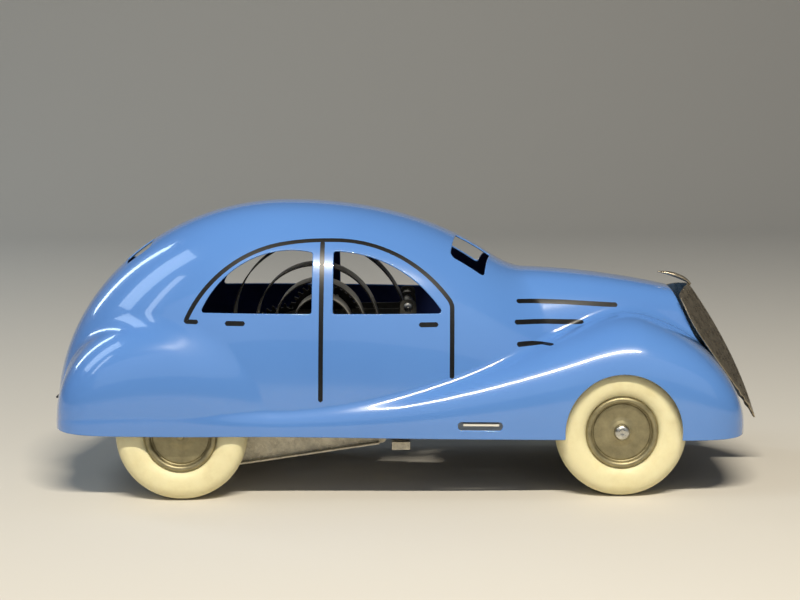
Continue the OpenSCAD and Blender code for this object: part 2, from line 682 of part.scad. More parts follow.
// Sleeve with a square socket, and two loops folded from sheet; upright at rest
module winding_key() {
    color(DARK_STEEL) union() {
        difference() {
            shaft(ARBOR, 2.4, KEY_Y[0], KEY_Y[1] + 2);
            square_end(KEY_Y[0] - 1, KEY_Y[1] - 1, key_square);
        }
        translate([ARBOR[0], 0, ARBOR[1]]) for (side = [-1, 1])
            translate([-0.6, (KEY_Y[1] + KEY_Y[2]) / 2, side * 6.2]) rotate([0, 90, 0])
                difference() {
                    cylinder(r = (KEY_Y[2] - KEY_Y[1]) / 2, h = 1.2);
                    translate([0, 0, -1]) cylinder(r = 2.6, h = 4);
                }
    }
}

// ---------- gear train ----------

// Spur gear outline: straight-flanked teeth with tip and root circles
function gear_outline(teeth) =
    let (r = gear_module * teeth / 2, tip = r + 0.9 * gear_module, root = r - 1.15 * gear_module,
         a = 360 / teeth)
    [for (k = [0:teeth - 1])
        each [root * dir((k - 0.30) * a), r * dir((k - 0.22) * a), tip * dir((k - 0.10) * a),
              tip * dir((k + 0.10) * a), r * dir((k + 0.22) * a), root * dir((k + 0.30) * a)]];
function dir(a) = [cos(a), sin(a)];
function bearing_angle(from, to) = atan2(to[1] - from[1], to[0] - from[0]);

// A gear at [x, z] with a tooth centred on the given angle, or a gap there
module gear(at, teeth, mid_y, thick, bore, angle, gap_there) {
    translate([at[0], 0, at[1]]) across(mid_y - thick / 2, mid_y + thick / 2) difference() {
        rotate(angle + (gap_there ? 180 / teeth : 0)) polygon(gear_outline(teeth));
        if (bore > 0) circle(r = bore);
    }
}

// Angles at which each pair meets; a gear on two meshes keeps the angle of its own mesh
TOWARDS_2 = bearing_angle(ARBOR, SECOND_ARBOR);
TOWARDS_3 = bearing_angle(SECOND_ARBOR, THIRD_ARBOR);
TOWARDS_AXLE = bearing_angle(THIRD_ARBOR, REAR_AXLE);

module great_wheel() {
    color(BRASS) difference() {
        gear(ARBOR, GREAT_TEETH, GREAT_Y, GEAR_T, ARBOR_R + RUN_FIT, TOWARDS_2, false);
        click_pin_place() cylinder(r = CLICK_PIN_R, h = 10, center = true);
    }
}

// An arbor between the middle and left plates: its shoulders run against them
module train_arbor(at) {
    shaft(at, PIVOT_R, MIDDLE_Y - 0.5, LEFT_Y + MOTOR_T + 0.5);
    shaft(at, ARBOR_R, MIDDLE_Y + MOTOR_T + END_PLAY, LEFT_Y - END_PLAY);
}

module second_pinion() {
    color(GALVANISED) union() {
        train_arbor(SECOND_ARBOR);
        gear(SECOND_ARBOR, SECOND_PINION_TEETH, GREAT_Y, PINION_T, 0, TOWARDS_2 + 180, true);
    }
}

module second_wheel() {
    color(BRASS) gear(SECOND_ARBOR, SECOND_TEETH, SECOND_Y, GEAR_T, ARBOR_R, TOWARDS_3, false);
}

module third_pinion() {
    color(GALVANISED) union() {
        train_arbor(THIRD_ARBOR);
        gear(THIRD_ARBOR, THIRD_PINION_TEETH, SECOND_Y, PINION_T, 0, TOWARDS_3 + 180, true);
    }
}

module third_wheel() {
    color(BRASS) gear(THIRD_ARBOR, THIRD_TEETH, THIRD_Y, GEAR_T, ARBOR_R, TOWARDS_AXLE, false);
}

module axle_pinion() {
    color(BRASS) gear(REAR_AXLE, AXLE_TEETH, THIRD_Y, PINION_T, AXLE_R, TOWARDS_AXLE + 180, true);
}

// ---------- click and stop lever ----------

CLICK_ANGLE = 60;
CLICK_PIVOT = ARBOR + CLICK_PIVOT_R * [cos(CLICK_ANGLE), sin(CLICK_ANGLE)];
module click_pin_place() translate([CLICK_PIVOT[0], GREAT_Y, CLICK_PIVOT[1]]) rotate([90, 0, 0]) children();

// Pawl whose nose rides just clear of the ratchet's tips
module click() {
    color(DARK_STEEL) translate([ARBOR[0], 0, ARBOR[1]])
        across(RATCHET_Y, RATCHET_Y + RATCHET_T) rotate(CLICK_ANGLE) difference() {
            union() {
                translate([CLICK_PIVOT_R, 0]) circle(r = 1.5);
                polygon([[CLICK_PIVOT_R + 1.3, -0.7], [CLICK_PIVOT_R - 0.9, 1.2], [6.1, 4.4],
                         [5.0, 3.4], [CLICK_PIVOT_R - 1.4, -0.5]]);
            }
            translate([CLICK_PIVOT_R, 0]) circle(r = CLICK_PIN_R + RUN_FIT);
        }
}

module click_rivet() {
    color(GALVANISED) shaft(CLICK_PIVOT, CLICK_PIN_R, GREAT_Y - GEAR_T / 2, RATCHET_Y + RATCHET_T + 0.15);
}

// A bent strip over the click's back, its foot fixed in the great wheel
module click_spring() {
    color(SPRING_GREY) translate([ARBOR[0], 0, ARBOR[1]]) union() {
        across(RATCHET_Y + 0.1, RATCHET_Y + 0.6) rotate(CLICK_ANGLE) difference() {
            intersection() {
                circle(r = 9.3);
                rotate(24) square(12);
                rotate(-30) square(12);
            }
            circle(r = 8.9);
        }
        across(GREAT_Y + GEAR_T / 2, RATCHET_Y + 0.6) rotate(CLICK_ANGLE + 56)
            translate([8.9, -0.5]) square([0.8, 1]);
    }
}

STOP_Y = MIDDLE_Y + MOTOR_T + 0.1;
STOP_T = 0.6;
NIB_X = [-36.5, -33.5];
NIB_Z = 25.8;
FINGER_X = [-3, 2.8];
FINGER_Z = 13.7;
FINGER_Y = -23;
TAB_T = 0.7;
LIP_H = 2.5;
// Flat lever: its nib stands under the second wheel's rim, and its tail is folded out past
// the right plate to a finger tab
module stop_lever() {
    color(GALVANISED) union() {
        across(STOP_Y, STOP_Y + STOP_T) difference() {
            polygon(rounded([[NIB_X[0], NIB_Z, 0.3], [-24, 23.9, 2], [-19, 22.5, 1],
                             [FINGER_X[0], FINGER_Z, 1], [FINGER_X[1], FINGER_Z, 0.6],
                             [FINGER_X[1], FINGER_Z + 1.5, 0.6], [FINGER_X[0], FINGER_Z + 2, 1],
                             [-19.5, 27.5, 2], [-24.5, 27.7, 2], [NIB_X[0], NIB_Z + 0.8, 0.3]]));
            translate(STOP_PIVOT) circle(r = PIVOT_R + RUN_FIT);
        }
        translate([NIB_X[0], STOP_Y, NIB_Z])
            cube([NIB_X[1] - NIB_X[0], SECOND_Y + GEAR_T / 2 - STOP_Y, TAB_T]);
        translate([FINGER_X[0], FINGER_Y, FINGER_Z])
            cube([FINGER_X[1] - FINGER_X[0], STOP_Y - FINGER_Y + 0.1, TAB_T]);
        translate([FINGER_X[0], FINGER_Y, FINGER_Z + TAB_T - LIP_H])
            cube([FINGER_X[1] - FINGER_X[0], STOP_T, LIP_H]);
    }
}

module stop_lever_rivet() {
    color(GALVANISED) union() {
        shaft(STOP_PIVOT, PIVOT_R, MIDDLE_Y - 0.1, STOP_Y + STOP_T + 0.1);
        shaft(STOP_PIVOT, 1.8, STOP_Y + STOP_T + 0.1, STOP_Y + STOP_T + 0.6);
        shaft(STOP_PIVOT, 1.8, MIDDLE_Y - 0.5, MIDDLE_Y);
    }
}

// ---------- the car ----------

body_shell();
radiator_grille();
bonnet_ornament();
base_plate();
plate_rivets();
front_axle();
front_left_hub();
front_right_hub();
front_left_tyre();
front_right_tyre();
rear_axle();
rear_left_hub();
rear_right_hub();
rear_left_tyre();
rear_right_tyre();
axle_pinion();
motor_plate_right();
motor_plate_middle();
motor_plate_left();
plate_pillars();
mainspring();
spring_arbor();
ratchet_wheel();
winding_key();
great_wheel();
click();
click_rivet();
click_spring();
second_pinion();
second_wheel();
third_pinion();
third_wheel();
stop_lever();
stop_lever_rivet();
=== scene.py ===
"""Looks of a pressed-tin clockwork saloon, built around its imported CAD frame."""
import math

import bmesh
import bpy
import numpy as np
from mathutils import Matrix, Vector
from mathutils.geometry import delaunay_2d_cdt


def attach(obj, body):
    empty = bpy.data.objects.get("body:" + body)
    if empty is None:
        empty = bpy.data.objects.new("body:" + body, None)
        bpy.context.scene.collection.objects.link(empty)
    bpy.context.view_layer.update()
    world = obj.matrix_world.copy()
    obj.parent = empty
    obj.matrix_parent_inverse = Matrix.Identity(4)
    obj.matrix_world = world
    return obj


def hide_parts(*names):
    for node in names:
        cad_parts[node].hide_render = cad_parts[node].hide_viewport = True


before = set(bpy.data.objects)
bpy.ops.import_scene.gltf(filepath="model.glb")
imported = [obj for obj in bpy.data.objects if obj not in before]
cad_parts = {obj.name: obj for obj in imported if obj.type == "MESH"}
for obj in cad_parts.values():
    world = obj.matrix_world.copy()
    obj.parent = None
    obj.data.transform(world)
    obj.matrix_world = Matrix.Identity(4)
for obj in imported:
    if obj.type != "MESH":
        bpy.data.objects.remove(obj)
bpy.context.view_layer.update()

MM = 0.001

# ---------- driving sizes, in millimetres, the same as the CAD part's ----------

RAKE = math.radians(0.93)
SKIRT_Z = 20.3
SHEET = 0.6
TAIL_X = -113.0
FRONT_X = 109.0
ROOF_X = -37.0
ROOF_H = 69.8
TAIL_LEN = 76.0
CABIN_W = 40.0
FENDER_W = 43.0
WHEELBASE = 137.0
TYRE_R = 20.5
TYRE_W = 11.0
WHEEL_Y = 34.6
AXLE_R = 1.25
REAR_AXLE = np.array([-WHEELBASE / 2, TYRE_R])
FRONT_AXLE = np.array([WHEELBASE / 2, TYRE_R])
ARBOR = np.array([-25.0, 51.0])


# ---------- body surface: the CAD part's formula, on arrays ----------

def ease(x, a, b):
    t = np.clip((x - a) / (b - a), 0, 1)
    return t * t * (3 - 2 * t)


def smooth_max(a, b, k):
    h = np.clip(0.5 + 0.5 * (a - b) / k, 0, 1)
    return b + (a - b) * h + k * h * (1 - h)


def smooth_min(a, b, k):
    return -smooth_max(-a, -b, k)


def falloff(d, length, n):
    return (1 - np.clip(np.abs(d) / length, 0, 1) ** n) ** (1 / n)


def oval(c, s, w, h, n):
    w = np.maximum(w, 0.01)
    h = np.maximum(h, 0.01)
    return ((c / w) ** n + (s / h) ** n) ** (-1 / n)


def cabin_r(x, c, s):
    d = x - ROOF_X
    back = d < 0
    half_w = CABIN_W * np.where(back, falloff(d, TAIL_LEN, 2.5), falloff(d, 120, 2.3))
    high = ROOF_H * np.where(back, falloff(d, TAIL_LEN, 2), falloff(d, 93, 2.2))
    return oval(c, s, half_w, high, 2.4)


def hood_r(x, c, s):
    top = 48.2 - 0.0019 * (x - 32) ** 2
    half_w = 17.5 + (90 - x) * 0.2
    nose = np.maximum(0.01, 42 - (x - 88) / 0.45)
    r = oval(c, s, half_w, top, 2.6 + 0.9 * ease(x, 30, 90))
    return np.maximum(0, smooth_min(r, nose / np.maximum(s, 0.001), 1.2)) * ease(x, -35, 15)


def front_fender_r(x, c, s):
    rise = 9.5 + 27 * np.maximum(0, 1 - (66 - x) / 104) ** 1.5
    ahead = np.maximum(0, x - 60)
    behind = np.minimum(0, x + 70)
    half_w = (FENDER_W - 1.5 + 1.5 * ease(x, -40, 20)) * falloff(behind, 40, 5)
    high = smooth_min(rise, 38 * falloff(ahead, 49, 2), 5) * falloff(behind, 40, 2.5)
    return oval(c, s, half_w * falloff(ahead, 49, 6), high, 4)


def rear_fender_r(x, c, s):
    d = x + 70
    back = d < 0
    high = 38 * falloff(d, np.where(back, 40, 31), 2.2)
    half_w = 42.5 * np.where(back, falloff(d, 40, 5), 1 - 0.12 * np.clip(d / 31, 0, 1) ** 2)
    return np.where(high < 0.05, 0, oval(c, s, half_w, high, 3.5))


def body_r(x, angle):
    """Radius of the outer skin about the body's lower centreline; angle 0 is the right side."""
    c = np.abs(np.cos(angle))
    s = np.abs(np.sin(angle))
    r = smooth_max(cabin_r(x, c, s), hood_r(x, c, s), 5.5)
    r = smooth_max(r, rear_fender_r(x, c, s), 3)
    return smooth_max(r, front_fender_r(x, c, s), 2.5)


MID_X = (TAIL_X + FRONT_X) / 2
HALF_X = (FRONT_X - TAIL_X) / 2


def station(u):
    """Stations crowd together towards both ends, where the section shrinks to nothing."""
    return MID_X - HALF_X * np.cos(np.pi * u)


def skin(u, v):
    """A point of the outer skin, in the body's level frame; u runs tail to nose, v right to left."""
    u = np.clip(u, 0.0, 1.0)
    x = station(u)
    a = np.pi * np.clip(v, 0, 1)
    r = body_r(x, a)
    return np.stack([x, -r * np.cos(a), r * np.sin(a)], -1)


def skin_normal(u, v):
    e = 2e-4
    du = skin(np.minimum(u + e, 1 - e), v) - skin(np.maximum(u - e, e), v)
    dv = skin(u, np.minimum(v + e, 1)) - skin(u, np.maximum(v - e, 0))
    n = np.cross(du, dv)
    length = np.linalg.norm(n, axis=-1, keepdims=True)
    ends = np.stack([np.sign(u - 0.5), 0 * u, 0 * u], -1)
    return np.where(length > 1e-9, n / np.maximum(length, 1e-9), ends)


def solve_v(x, want, height):
    """v on the right side where the skin at station x has the wanted height, or |y| if not height."""
    low = np.zeros_like(x)
    high = np.full_like(x, 0.5)
    for _ in range(40):
        mid = (low + high) / 2
        a = np.pi * mid
        r = body_r(x, a)
        got = r * np.sin(a) if height else -r * np.cos(a)
        target = want if height else -want
        low = np.where(got < target, mid, low)
        high = np.where(got < target, high, mid)
    return (low + high) / 2


def unstation(x):
    return np.arccos(np.clip((MID_X - x) / HALF_X, -1, 1)) / np.pi


def to_car(points):
    """From the body's level frame to the car's frame, still in millimetres."""
    p = np.asarray(points, float)
    c, s = math.cos(RAKE), math.sin(RAKE)
    return np.stack([p[..., 0] * c + p[..., 2] * s, p[..., 1],
                     -p[..., 0] * s + p[..., 2] * c + SKIRT_Z], -1)


def turn_to_car(n):
    c, s = math.cos(RAKE), math.sin(RAKE)
    return np.stack([n[..., 0] * c + n[..., 2] * s, n[..., 1], -n[..., 0] * s + n[..., 2] * c], -1)


# ---------- outline helpers ----------

def closed_line(corners, step=0.4, turn=8):
    """Points along a closed outline of straight edges; a corner is (x, y, radius)."""
    pts = []
    n = len(corners)
    flat = [np.array(c[:2], float) for c in corners]
    for i, corner in enumerate(corners):
        before, at, after = flat[i - 1], flat[i], flat[(i + 1) % n]
        r = corner[2]
        if r > 0:
            u = (before - at) / np.linalg.norm(before - at)
            v = (after - at) / np.linalg.norm(after - at)
            half = math.acos(np.clip(u @ v, -1, 1)) / 2
            back = r / math.tan(half)
            mid = at + (u + v) / np.linalg.norm(u + v) * r / math.sin(half)
            a0 = math.atan2(*(at + u * back - mid)[::-1])
            a1 = math.atan2(*(at + v * back - mid)[::-1])
            sweep = (a1 - a0 + math.pi) % (2 * math.pi) - math.pi
            for k in range(turn + 1):
                a = a0 + sweep * k / turn
                pts.append(mid + r * np.array([math.cos(a), math.sin(a)]))
        else:
            pts.append(at)
    return resample(np.array(pts), step)


def resample(pts, step, closed=True):
    if closed:
        pts = np.vstack([pts, pts[:1]])
    out = []
    for a, b in zip(pts[:-1], pts[1:]):
        n = max(1, int(round(np.linalg.norm(b - a) / step)))
        out += [a + (b - a) * k / n for k in range(n)]
    if not closed:
        out.append(pts[-1])
    return np.array(out)


def arc_points(centre, r, a0, a1, step=0.5):
    n = max(2, int(abs(math.radians(a1 - a0)) * r / step))
    t = np.radians(np.linspace(a0, a1, n + 1))
    return np.stack([centre[0] + r * np.cos(t), centre[1] + r * np.sin(t)], -1)


def inside(points, outline):
    """Even-odd test of many points against one outline."""
    x, y = points[:, 0], points[:, 1]
    hit = np.zeros(len(points), bool)
    a = outline
    b = np.roll(outline, -1, axis=0)
    for (x0, y0), (x1, y1) in zip(a, b):
        cross = (y0 > y) != (y1 > y)
        if cross.any():
            at = x0 + (y - y0) * (x1 - x0) / (y1 - y0 if y1 != y0 else 1e-12)
            hit ^= cross & (x < at)
    return hit


# ---------- mesh helpers ----------

def new_mesh(name, verts, faces, material, body, node=None, normals=None, smooth=True):
    """Adds a mesh piece (points in metres) that rides on a body and may stand for CAD nodes."""
    mesh = bpy.data.meshes.new(name)
    mesh.from_pydata([tuple(v) for v in verts], [], [tuple(int(i) for i in f) for f in faces])
    mesh.update()
    piece = bpy.data.objects.new(name, mesh)
    bpy.context.scene.collection.objects.link(piece)
    mesh.materials.append(material)
    if smooth:
        mesh.polygons.foreach_set("use_smooth", [True] * len(mesh.polygons))
    if normals is not None:
        mesh.normals_split_custom_set_from_vertices([tuple(n) for n in normals])
    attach(piece, body)
    if node:
        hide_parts(*([node] if isinstance(node, str) else node))
    return piece


def add_bevel(piece, width, angle=30, segments=2):
    bevel = piece.modifiers.new("edges", "BEVEL")
    bevel.width = width * MM
    bevel.segments = segments
    bevel.limit_method = "ANGLE"
    bevel.angle_limit = math.radians(angle)
    bevel.harden_normals = False
    weighted = piece.modifiers.new("shading", "WEIGHTED_NORMAL")
    weighted.keep_sharp = False


# ---------- materials ----------

def material(name, colour, rough, metallic=0.0, **extra):
    m = bpy.data.materials.new(name)
    m.use_nodes = True
    bsdf = m.node_tree.nodes["Principled BSDF"]
    bsdf.inputs["Base Color"].default_value = (*colour, 1)
    bsdf.inputs["Roughness"].default_value = rough
    bsdf.inputs["Metallic"].default_value = metallic
    for key, value in extra.items():
        bsdf.inputs[key.replace("_", " ")].default_value = value
    return m


def link(m, a, out, b, into):
    m.node_tree.links.new(a.outputs[out], b.inputs[into])


def add(m, kind, **values):
    node = m.node_tree.nodes.new(kind)
    for key, value in values.items():
        if hasattr(node, key):
            setattr(node, key, value)
        else:
            node.inputs[key.replace("_", " ")].default_value = value
    return node


def noise(m, scale, detail=3.0, rough=0.5):
    """Noise in object coordinates; scale is features per metre."""
    place = add(m, "ShaderNodeTexCoord")
    n = add(m, "ShaderNodeTexNoise", Scale=scale, Detail=detail, Roughness=rough)
    link(m, place, "Object", n, "Vector")
    return n


def ramp(m, source, out, stops):
    r = add(m, "ShaderNodeValToRGB")
    r.color_ramp.elements.remove(r.color_ramp.elements[0])
    r.color_ramp.elements[0].position = stops[0][0]
    r.color_ramp.elements[0].color = (*stops[0][1], 1)
    for at, colour in stops[1:]:
        e = r.color_ramp.elements.new(at)
        e.color = (*colour, 1)
    link(m, source, out, r, "Fac")
    return r


def bump(m, source, out, strength, distance):
    b = add(m, "ShaderNodeBump", Strength=strength, Distance=distance)
    link(m, source, out, b, "Height")
    link(m, b, "Normal", m.node_tree.nodes["Principled BSDF"], "Normal")
    return b


def to_shader(m, source, out, into):
    link(m, source, out, m.node_tree.nodes["Principled BSDF"], into)


def grey(v):
    return (v, v, v)


# Sockets of a Mix node set to colours; its number sockets have the same names
MIX_FACTOR = 0
MIX_A = 6
MIX_B = 7
MIX_RESULT = 2


def multiply(m, first, first_out, second, second_out):
    """The product of two colours."""
    mix = add(m, "ShaderNodeMix", data_type="RGBA", blend_type="MULTIPLY")
    mix.inputs[MIX_FACTOR].default_value = 1.0
    link(m, first, first_out, mix, MIX_A)
    link(m, second, second_out, mix, MIX_B)
    return mix


def map_range(m, source, out, **ends):
    """Rescales a number; an end that isn't given stays 0 or 1."""
    node = add(m, "ShaderNodeMapRange", **ends)
    link(m, source, out, node, "Value")
    return node


def enamel():
    """Stoved enamel: an even coat with faint cloudiness and the slightest orange peel."""
    m = material("blue_enamel", (0.095, 0.232, 0.575), 0.22, Coat_Weight=1.0, Coat_Roughness=0.025,
                 Specular_IOR_Level=0.3)
    cloud = noise(m, 18, 2)
    tint = ramp(m, cloud, "Fac", [(0.35, (0.091, 0.224, 0.56)), (0.65, (0.099, 0.240, 0.59))])
    to_shader(m, tint, "Color", "Base Color")
    peel = noise(m, 500, 2)
    bump(m, peel, "Fac", 0.06, 0.00006)
    return m


def line_ink():
    m = material("line_black", (0.006, 0.006, 0.006), 0.3, Specular_IOR_Level=0.3)
    grain = noise(m, 900, 2)
    tint = ramp(m, grain, "Fac", [(0.3, grey(0.004)), (0.7, grey(0.009))])
    to_shader(m, tint, "Color", "Base Color")
    return m


def white_rubber():
    m = material("white_rubber", (0.87, 0.80, 0.50), 0.55, Subsurface_Weight=0.12,
                 Subsurface_Scale=0.004)
    m.node_tree.nodes["Principled BSDF"].inputs["Subsurface Radius"].default_value = (1, 0.8, 0.5)
    grime = noise(m, 130, 5, 0.65)
    tint = ramp(m, grime, "Fac", [(0.30, (0.72, 0.64, 0.37)), (0.5, (0.79, 0.72, 0.44)),
                                  (0.8, (0.84, 0.78, 0.50))])
    to_shader(m, tint, "Color", "Base Color")
    fine = noise(m, 1400, 3)
    bump(m, fine, "Fac", 0.15, 0.00008)
    return m


def worn_metal(name, dark, light, rough, scale=220.0, depth=0.00005, strength=0.3, metallic=1.0,
               spread=0.12):
    """Sheet or turned metal with blotches, fine grain and uneven dullness."""
    m = material(name, light, rough, metallic)
    blotch = noise(m, scale, 6, 0.62)
    tint = ramp(m, blotch, "Fac", [(0.32, dark), (0.68, light)])
    to_shader(m, tint, "Color", "Base Color")
    dull = map_range(m, blotch, "Fac", To_Min=rough - spread, To_Max=rough + spread)
    to_shader(m, dull, "Result", "Roughness")
    grain = noise(m, scale * 8, 3)
    bump(m, grain, "Fac", strength, depth)
    return m


# Painted shade on the motor plates: the heights in metres between which it darkens them, and how dark it
# ends
SHADE_FROM_Z = 0.030
SHADE_FULL_Z = 0.046
SHADE_DARKEST = 0.10


def galvanised():
    """Zinc-coated sheet: small flat spangles hardly different in tone, fine grain, dull stains, and painted
    shade that darkens it towards the top.
    """
    m = material("galvanised", (0.78, 0.72, 0.57), 0.45, 0.25)
    place = add(m, "ShaderNodeTexCoord")
    cells = add(m, "ShaderNodeTexVoronoi", Scale=900.0)
    cells.feature = "F1"
    link(m, place, "Object", cells, "Vector")
    tone = add(m, "ShaderNodeSeparateColor")
    link(m, cells, "Color", tone, "Color")
    shade = ramp(m, tone, "Red", [(0.0, (0.68, 0.62, 0.48)), (0.5, (0.78, 0.72, 0.57)),
                                  (1.0, (0.85, 0.79, 0.64))])
    stain = noise(m, 260, 6, 0.7)
    dirt = ramp(m, stain, "Fac", [(0.36, grey(0.72)), (0.56, grey(1.0))])
    stained = multiply(m, shade, "Color", dirt, "Color")
    # painted shade: darker with height, standing in for the shade that falls on the plates inside the
    # shell; darker with height because the photograph is; the real cause isn't known
    height = add(m, "ShaderNodeSeparateXYZ")
    link(m, place, "Object", height, "Vector")
    shadow = map_range(m, height, "Z", From_Min=SHADE_FROM_Z, From_Max=SHADE_FULL_Z, To_Min=1.0,
                       To_Max=SHADE_DARKEST)
    darkened = multiply(m, stained, MIX_RESULT, shadow, "Result")
    to_shader(m, darkened, MIX_RESULT, "Base Color")
    rough = map_range(m, tone, "Green", To_Min=0.36, To_Max=0.56)
    to_shader(m, rough, "Result", "Roughness")
    bump(m, stain, "Fac", 0.25, 0.0001)
    return m


def inner_face_shade_material():
    """The sheet's inner face: painted shade, a dull near-black blue chosen to match the shade in the dark
    cabin.
    """
    m = material("inner_face_painted_shade", (0.012, 0.026, 0.14), 0.6)
    patch = noise(m, 60, 4)
    tint = ramp(m, patch, "Fac", [(0.3, (0.009, 0.020, 0.11)), (0.7, (0.016, 0.034, 0.18))])
    to_shader(m, tint, "Color", "Base Color")
    return m


# Distance in metres from the centre plane beyond which the base plate's tabs show outside the shell; within
# it the plate carries painted shade
TAB_SHOWS = 0.0415


def plate_painted_shade():
    """Painted shade: the base plate made dark to match the shade under the car, with its tab ends outside
    the shell in the sheet's own bright colour.
    """
    m = material("plate_painted_shade", (0.02, 0.021, 0.024), 0.5, 0.3)
    patch = noise(m, 160, 4)
    dark = ramp(m, patch, "Fac", [(0.3, (0.012, 0.013, 0.016)), (0.7, (0.032, 0.034, 0.040))])
    place = add(m, "ShaderNodeTexCoord")
    split = add(m, "ShaderNodeSeparateXYZ")
    link(m, place, "Object", split, "Vector")
    outward = add(m, "ShaderNodeMath", operation="ABSOLUTE")
    link(m, split, "Y", outward, 0)
    tab = add(m, "ShaderNodeMath", operation="GREATER_THAN")
    link(m, outward, 0, tab, 0)
    tab.inputs[1].default_value = TAB_SHOWS
    # painted shade inside the shell, the sheet's own colour on the tab ends outside it
    mix = add(m, "ShaderNodeMix", data_type="RGBA")
    link(m, tab, 0, mix, MIX_FACTOR)
    link(m, dark, "Color", mix, MIX_A)
    mix.inputs[MIX_B].default_value = (0.80, 0.77, 0.68, 1)
    to_shader(m, mix, MIX_RESULT, "Base Color")
    return m


ENAMEL = enamel()
INNER_PAINTED_SHADE = inner_face_shade_material()
INK = line_ink()
RUBBER = white_rubber()
HUB = worn_metal("hub_steel", (0.25, 0.22, 0.13), (0.40, 0.35, 0.21), 0.46, 240, metallic=0.85,
                 spread=0.08)
NICKEL = worn_metal("dark_nickel", (0.34, 0.285, 0.20), (0.54, 0.465, 0.35), 0.28, 420, metallic=0.9,
                    spread=0.08)
AXLE = worn_metal("axle_steel", (0.45, 0.44, 0.40), (0.72, 0.71, 0.67), 0.28, 400, spread=0.08)
SPRING = worn_metal("spring_steel", (0.60, 0.58, 0.53), (0.84, 0.82, 0.76), 0.42, 260, metallic=0.8,
                    spread=0.08)
# painted shade: near-black for the spring strip's two sides, which sit in shadow
SPRING_SIDE_SHADE = worn_metal("spring_side_painted_shade", (0.010, 0.009, 0.008), (0.035, 0.031, 0.027), 0.5, 300, metallic=0.4,
                         spread=0.08)
# painted shade: near-black steel for the gear wheels, standing in for the shade deep inside the cabin
GEAR_PAINTED_SHADE = worn_metal("steel_painted_shade", (0.012, 0.011, 0.010), (0.045, 0.040, 0.034), 0.42, 260, metallic=0.7)
BRASS = worn_metal("gear_brass", (0.55, 0.38, 0.14), (0.80, 0.60, 0.27), 0.30, 300, spread=0.1)
ZINC = galvanised()
PLATE_PAINTED_SHADE = plate_painted_shade()


# ---------- pressed body shell ----------

GRID_U = 330
GRID_V = 240
# Scale of the flat map used when the skin is cut: roughly millimetres both ways
MAP_U = 300.0
MAP_V = 130.0

SILL_Z = 37.1
# Arcs over the side windows: centre x, centre z and radius
REAR_ARC = (-34.4, 25.9, 30.6)
FRONT_ARC = (-21.8, 14.3, 41.9)
POST_X = (-27.7, -21.7)
WINDOW_CORNER_R = 1.0
# Plan-view cuts apply only to skin above this height
PLAN_CUT_Z = 30
KEY_HOLE = (-25.5, 30.3)
KEY_HOLE_R = 3.5
ARCH_CENTRE = (68.6, 2.0)
ARCH_R = 18.35


def window_line(arc, post, way, post_trim, tip_trim):
    """Side window outline: a flat sill, an upright post edge and an arc, with small corners.

    way is 1 where the arc runs forward from the post and -1 where it runs back; the trims are
    the degrees by which the arc's own points stop short of its two corners."""
    x, z, r = arc
    sill_angle = math.degrees(math.asin((SILL_Z - z) / r))
    tip_angle = sill_angle if way > 0 else 180 - sill_angle
    post_angle = math.degrees(math.acos((post - x) / r))
    sweep = arc_points(arc, r, post_angle - way * post_trim, tip_angle + way * tip_trim, 0.5)
    post_top = z + math.sqrt(r ** 2 - (post - x) ** 2)
    tip_x = x + way * math.sqrt(r ** 2 - (SILL_Z - z) ** 2)
    corners = [(post, SILL_Z, WINDOW_CORNER_R), (post, post_top, WINDOW_CORNER_R)]
    corners += [(*p, 0) for p in sweep]
    corners += [(tip_x, SILL_Z, WINDOW_CORNER_R)]
    return closed_line(corners)


class Cut:
    """An opening in the skin: its outline in side view (x, z) or plan (x, y), and its side.

    An outline that ends on the body's lower edge is open, and the points below close it."""

    def __init__(self, line, side, plan=False, below=None):
        self.side = side
        self.plan = plan
        self.open = below is not None
        self.line = np.vstack([line, below]) if self.open else line
        x = line[:, 0]
        v = solve_v(x, np.maximum(line[:, 1], 0), height=not plan)
        self.u = unstation(x)
        self.v = v if side < 0 else 1 - v

    def holds(self, p):
        """Which skin points lie in the opening."""
        flat = p[:, [0, 1]] * [1, self.side] if self.plan else p[:, [0, 2]]
        same_side = p[:, 1] * self.side > 0
        if self.plan:
            same_side &= p[:, 2] > PLAN_CUT_Z
        return inside(flat, self.line) & same_side


def both(line, plan=False, below=None):
    return [Cut(line, -1, plan, below), Cut(line, 1, plan, below)]


def arch_cuts():
    """Front wheel arches: an arc whose ends are on the body's lower edge."""
    drop = math.degrees(math.asin(ARCH_CENTRE[1] / ARCH_R))
    arch = arc_points(ARCH_CENTRE, ARCH_R, -drop, 180 + drop, 0.45)
    arch[[0, -1], 1] = 0.0
    return both(arch, below=[(arch[-1, 0], -4), (arch[0, 0], -4)])


def all_cuts():
    """Every opening; an outline's third value is its corner's radius."""
    cuts = both(window_line(REAR_ARC, POST_X[0], -1, 3.0, 3.5))
    cuts += both(window_line(FRONT_ARC, POST_X[1], 1, 2.5, 2.5))
    screen = closed_line([(17.4, 3.5, 1.2), (14.9, 20.4, 1.8), (26.2, 21.2, 1.8), (29.0, 3.5, 1.2)])
    cuts += both(screen, plan=True)
    back = closed_line([(-80.6, 2.6, 1.5), (-80.9, 12.6, 2), (-89.2, 11.6, 2), (-89.8, 2.6, 1.5)])
    cuts += both(back, plan=True)
    slot = closed_line([(17.1, 2.3, 1.4), (31.4, 2.3, 1.4), (31.4, 5.4, 1.4), (17.1, 5.4, 1.4)], 0.3)
    cuts += both(slot)
    cuts += arch_cuts()
    cuts.append(Cut(arc_points(KEY_HOLE, KEY_HOLE_R, 0, 352, 0.4), 1))
    return cuts


# Map distance kept free of grid points beside an outline, and how far around it to look
CUT_GAP = 0.28
CUT_REACH = 3
BATCH = 2000


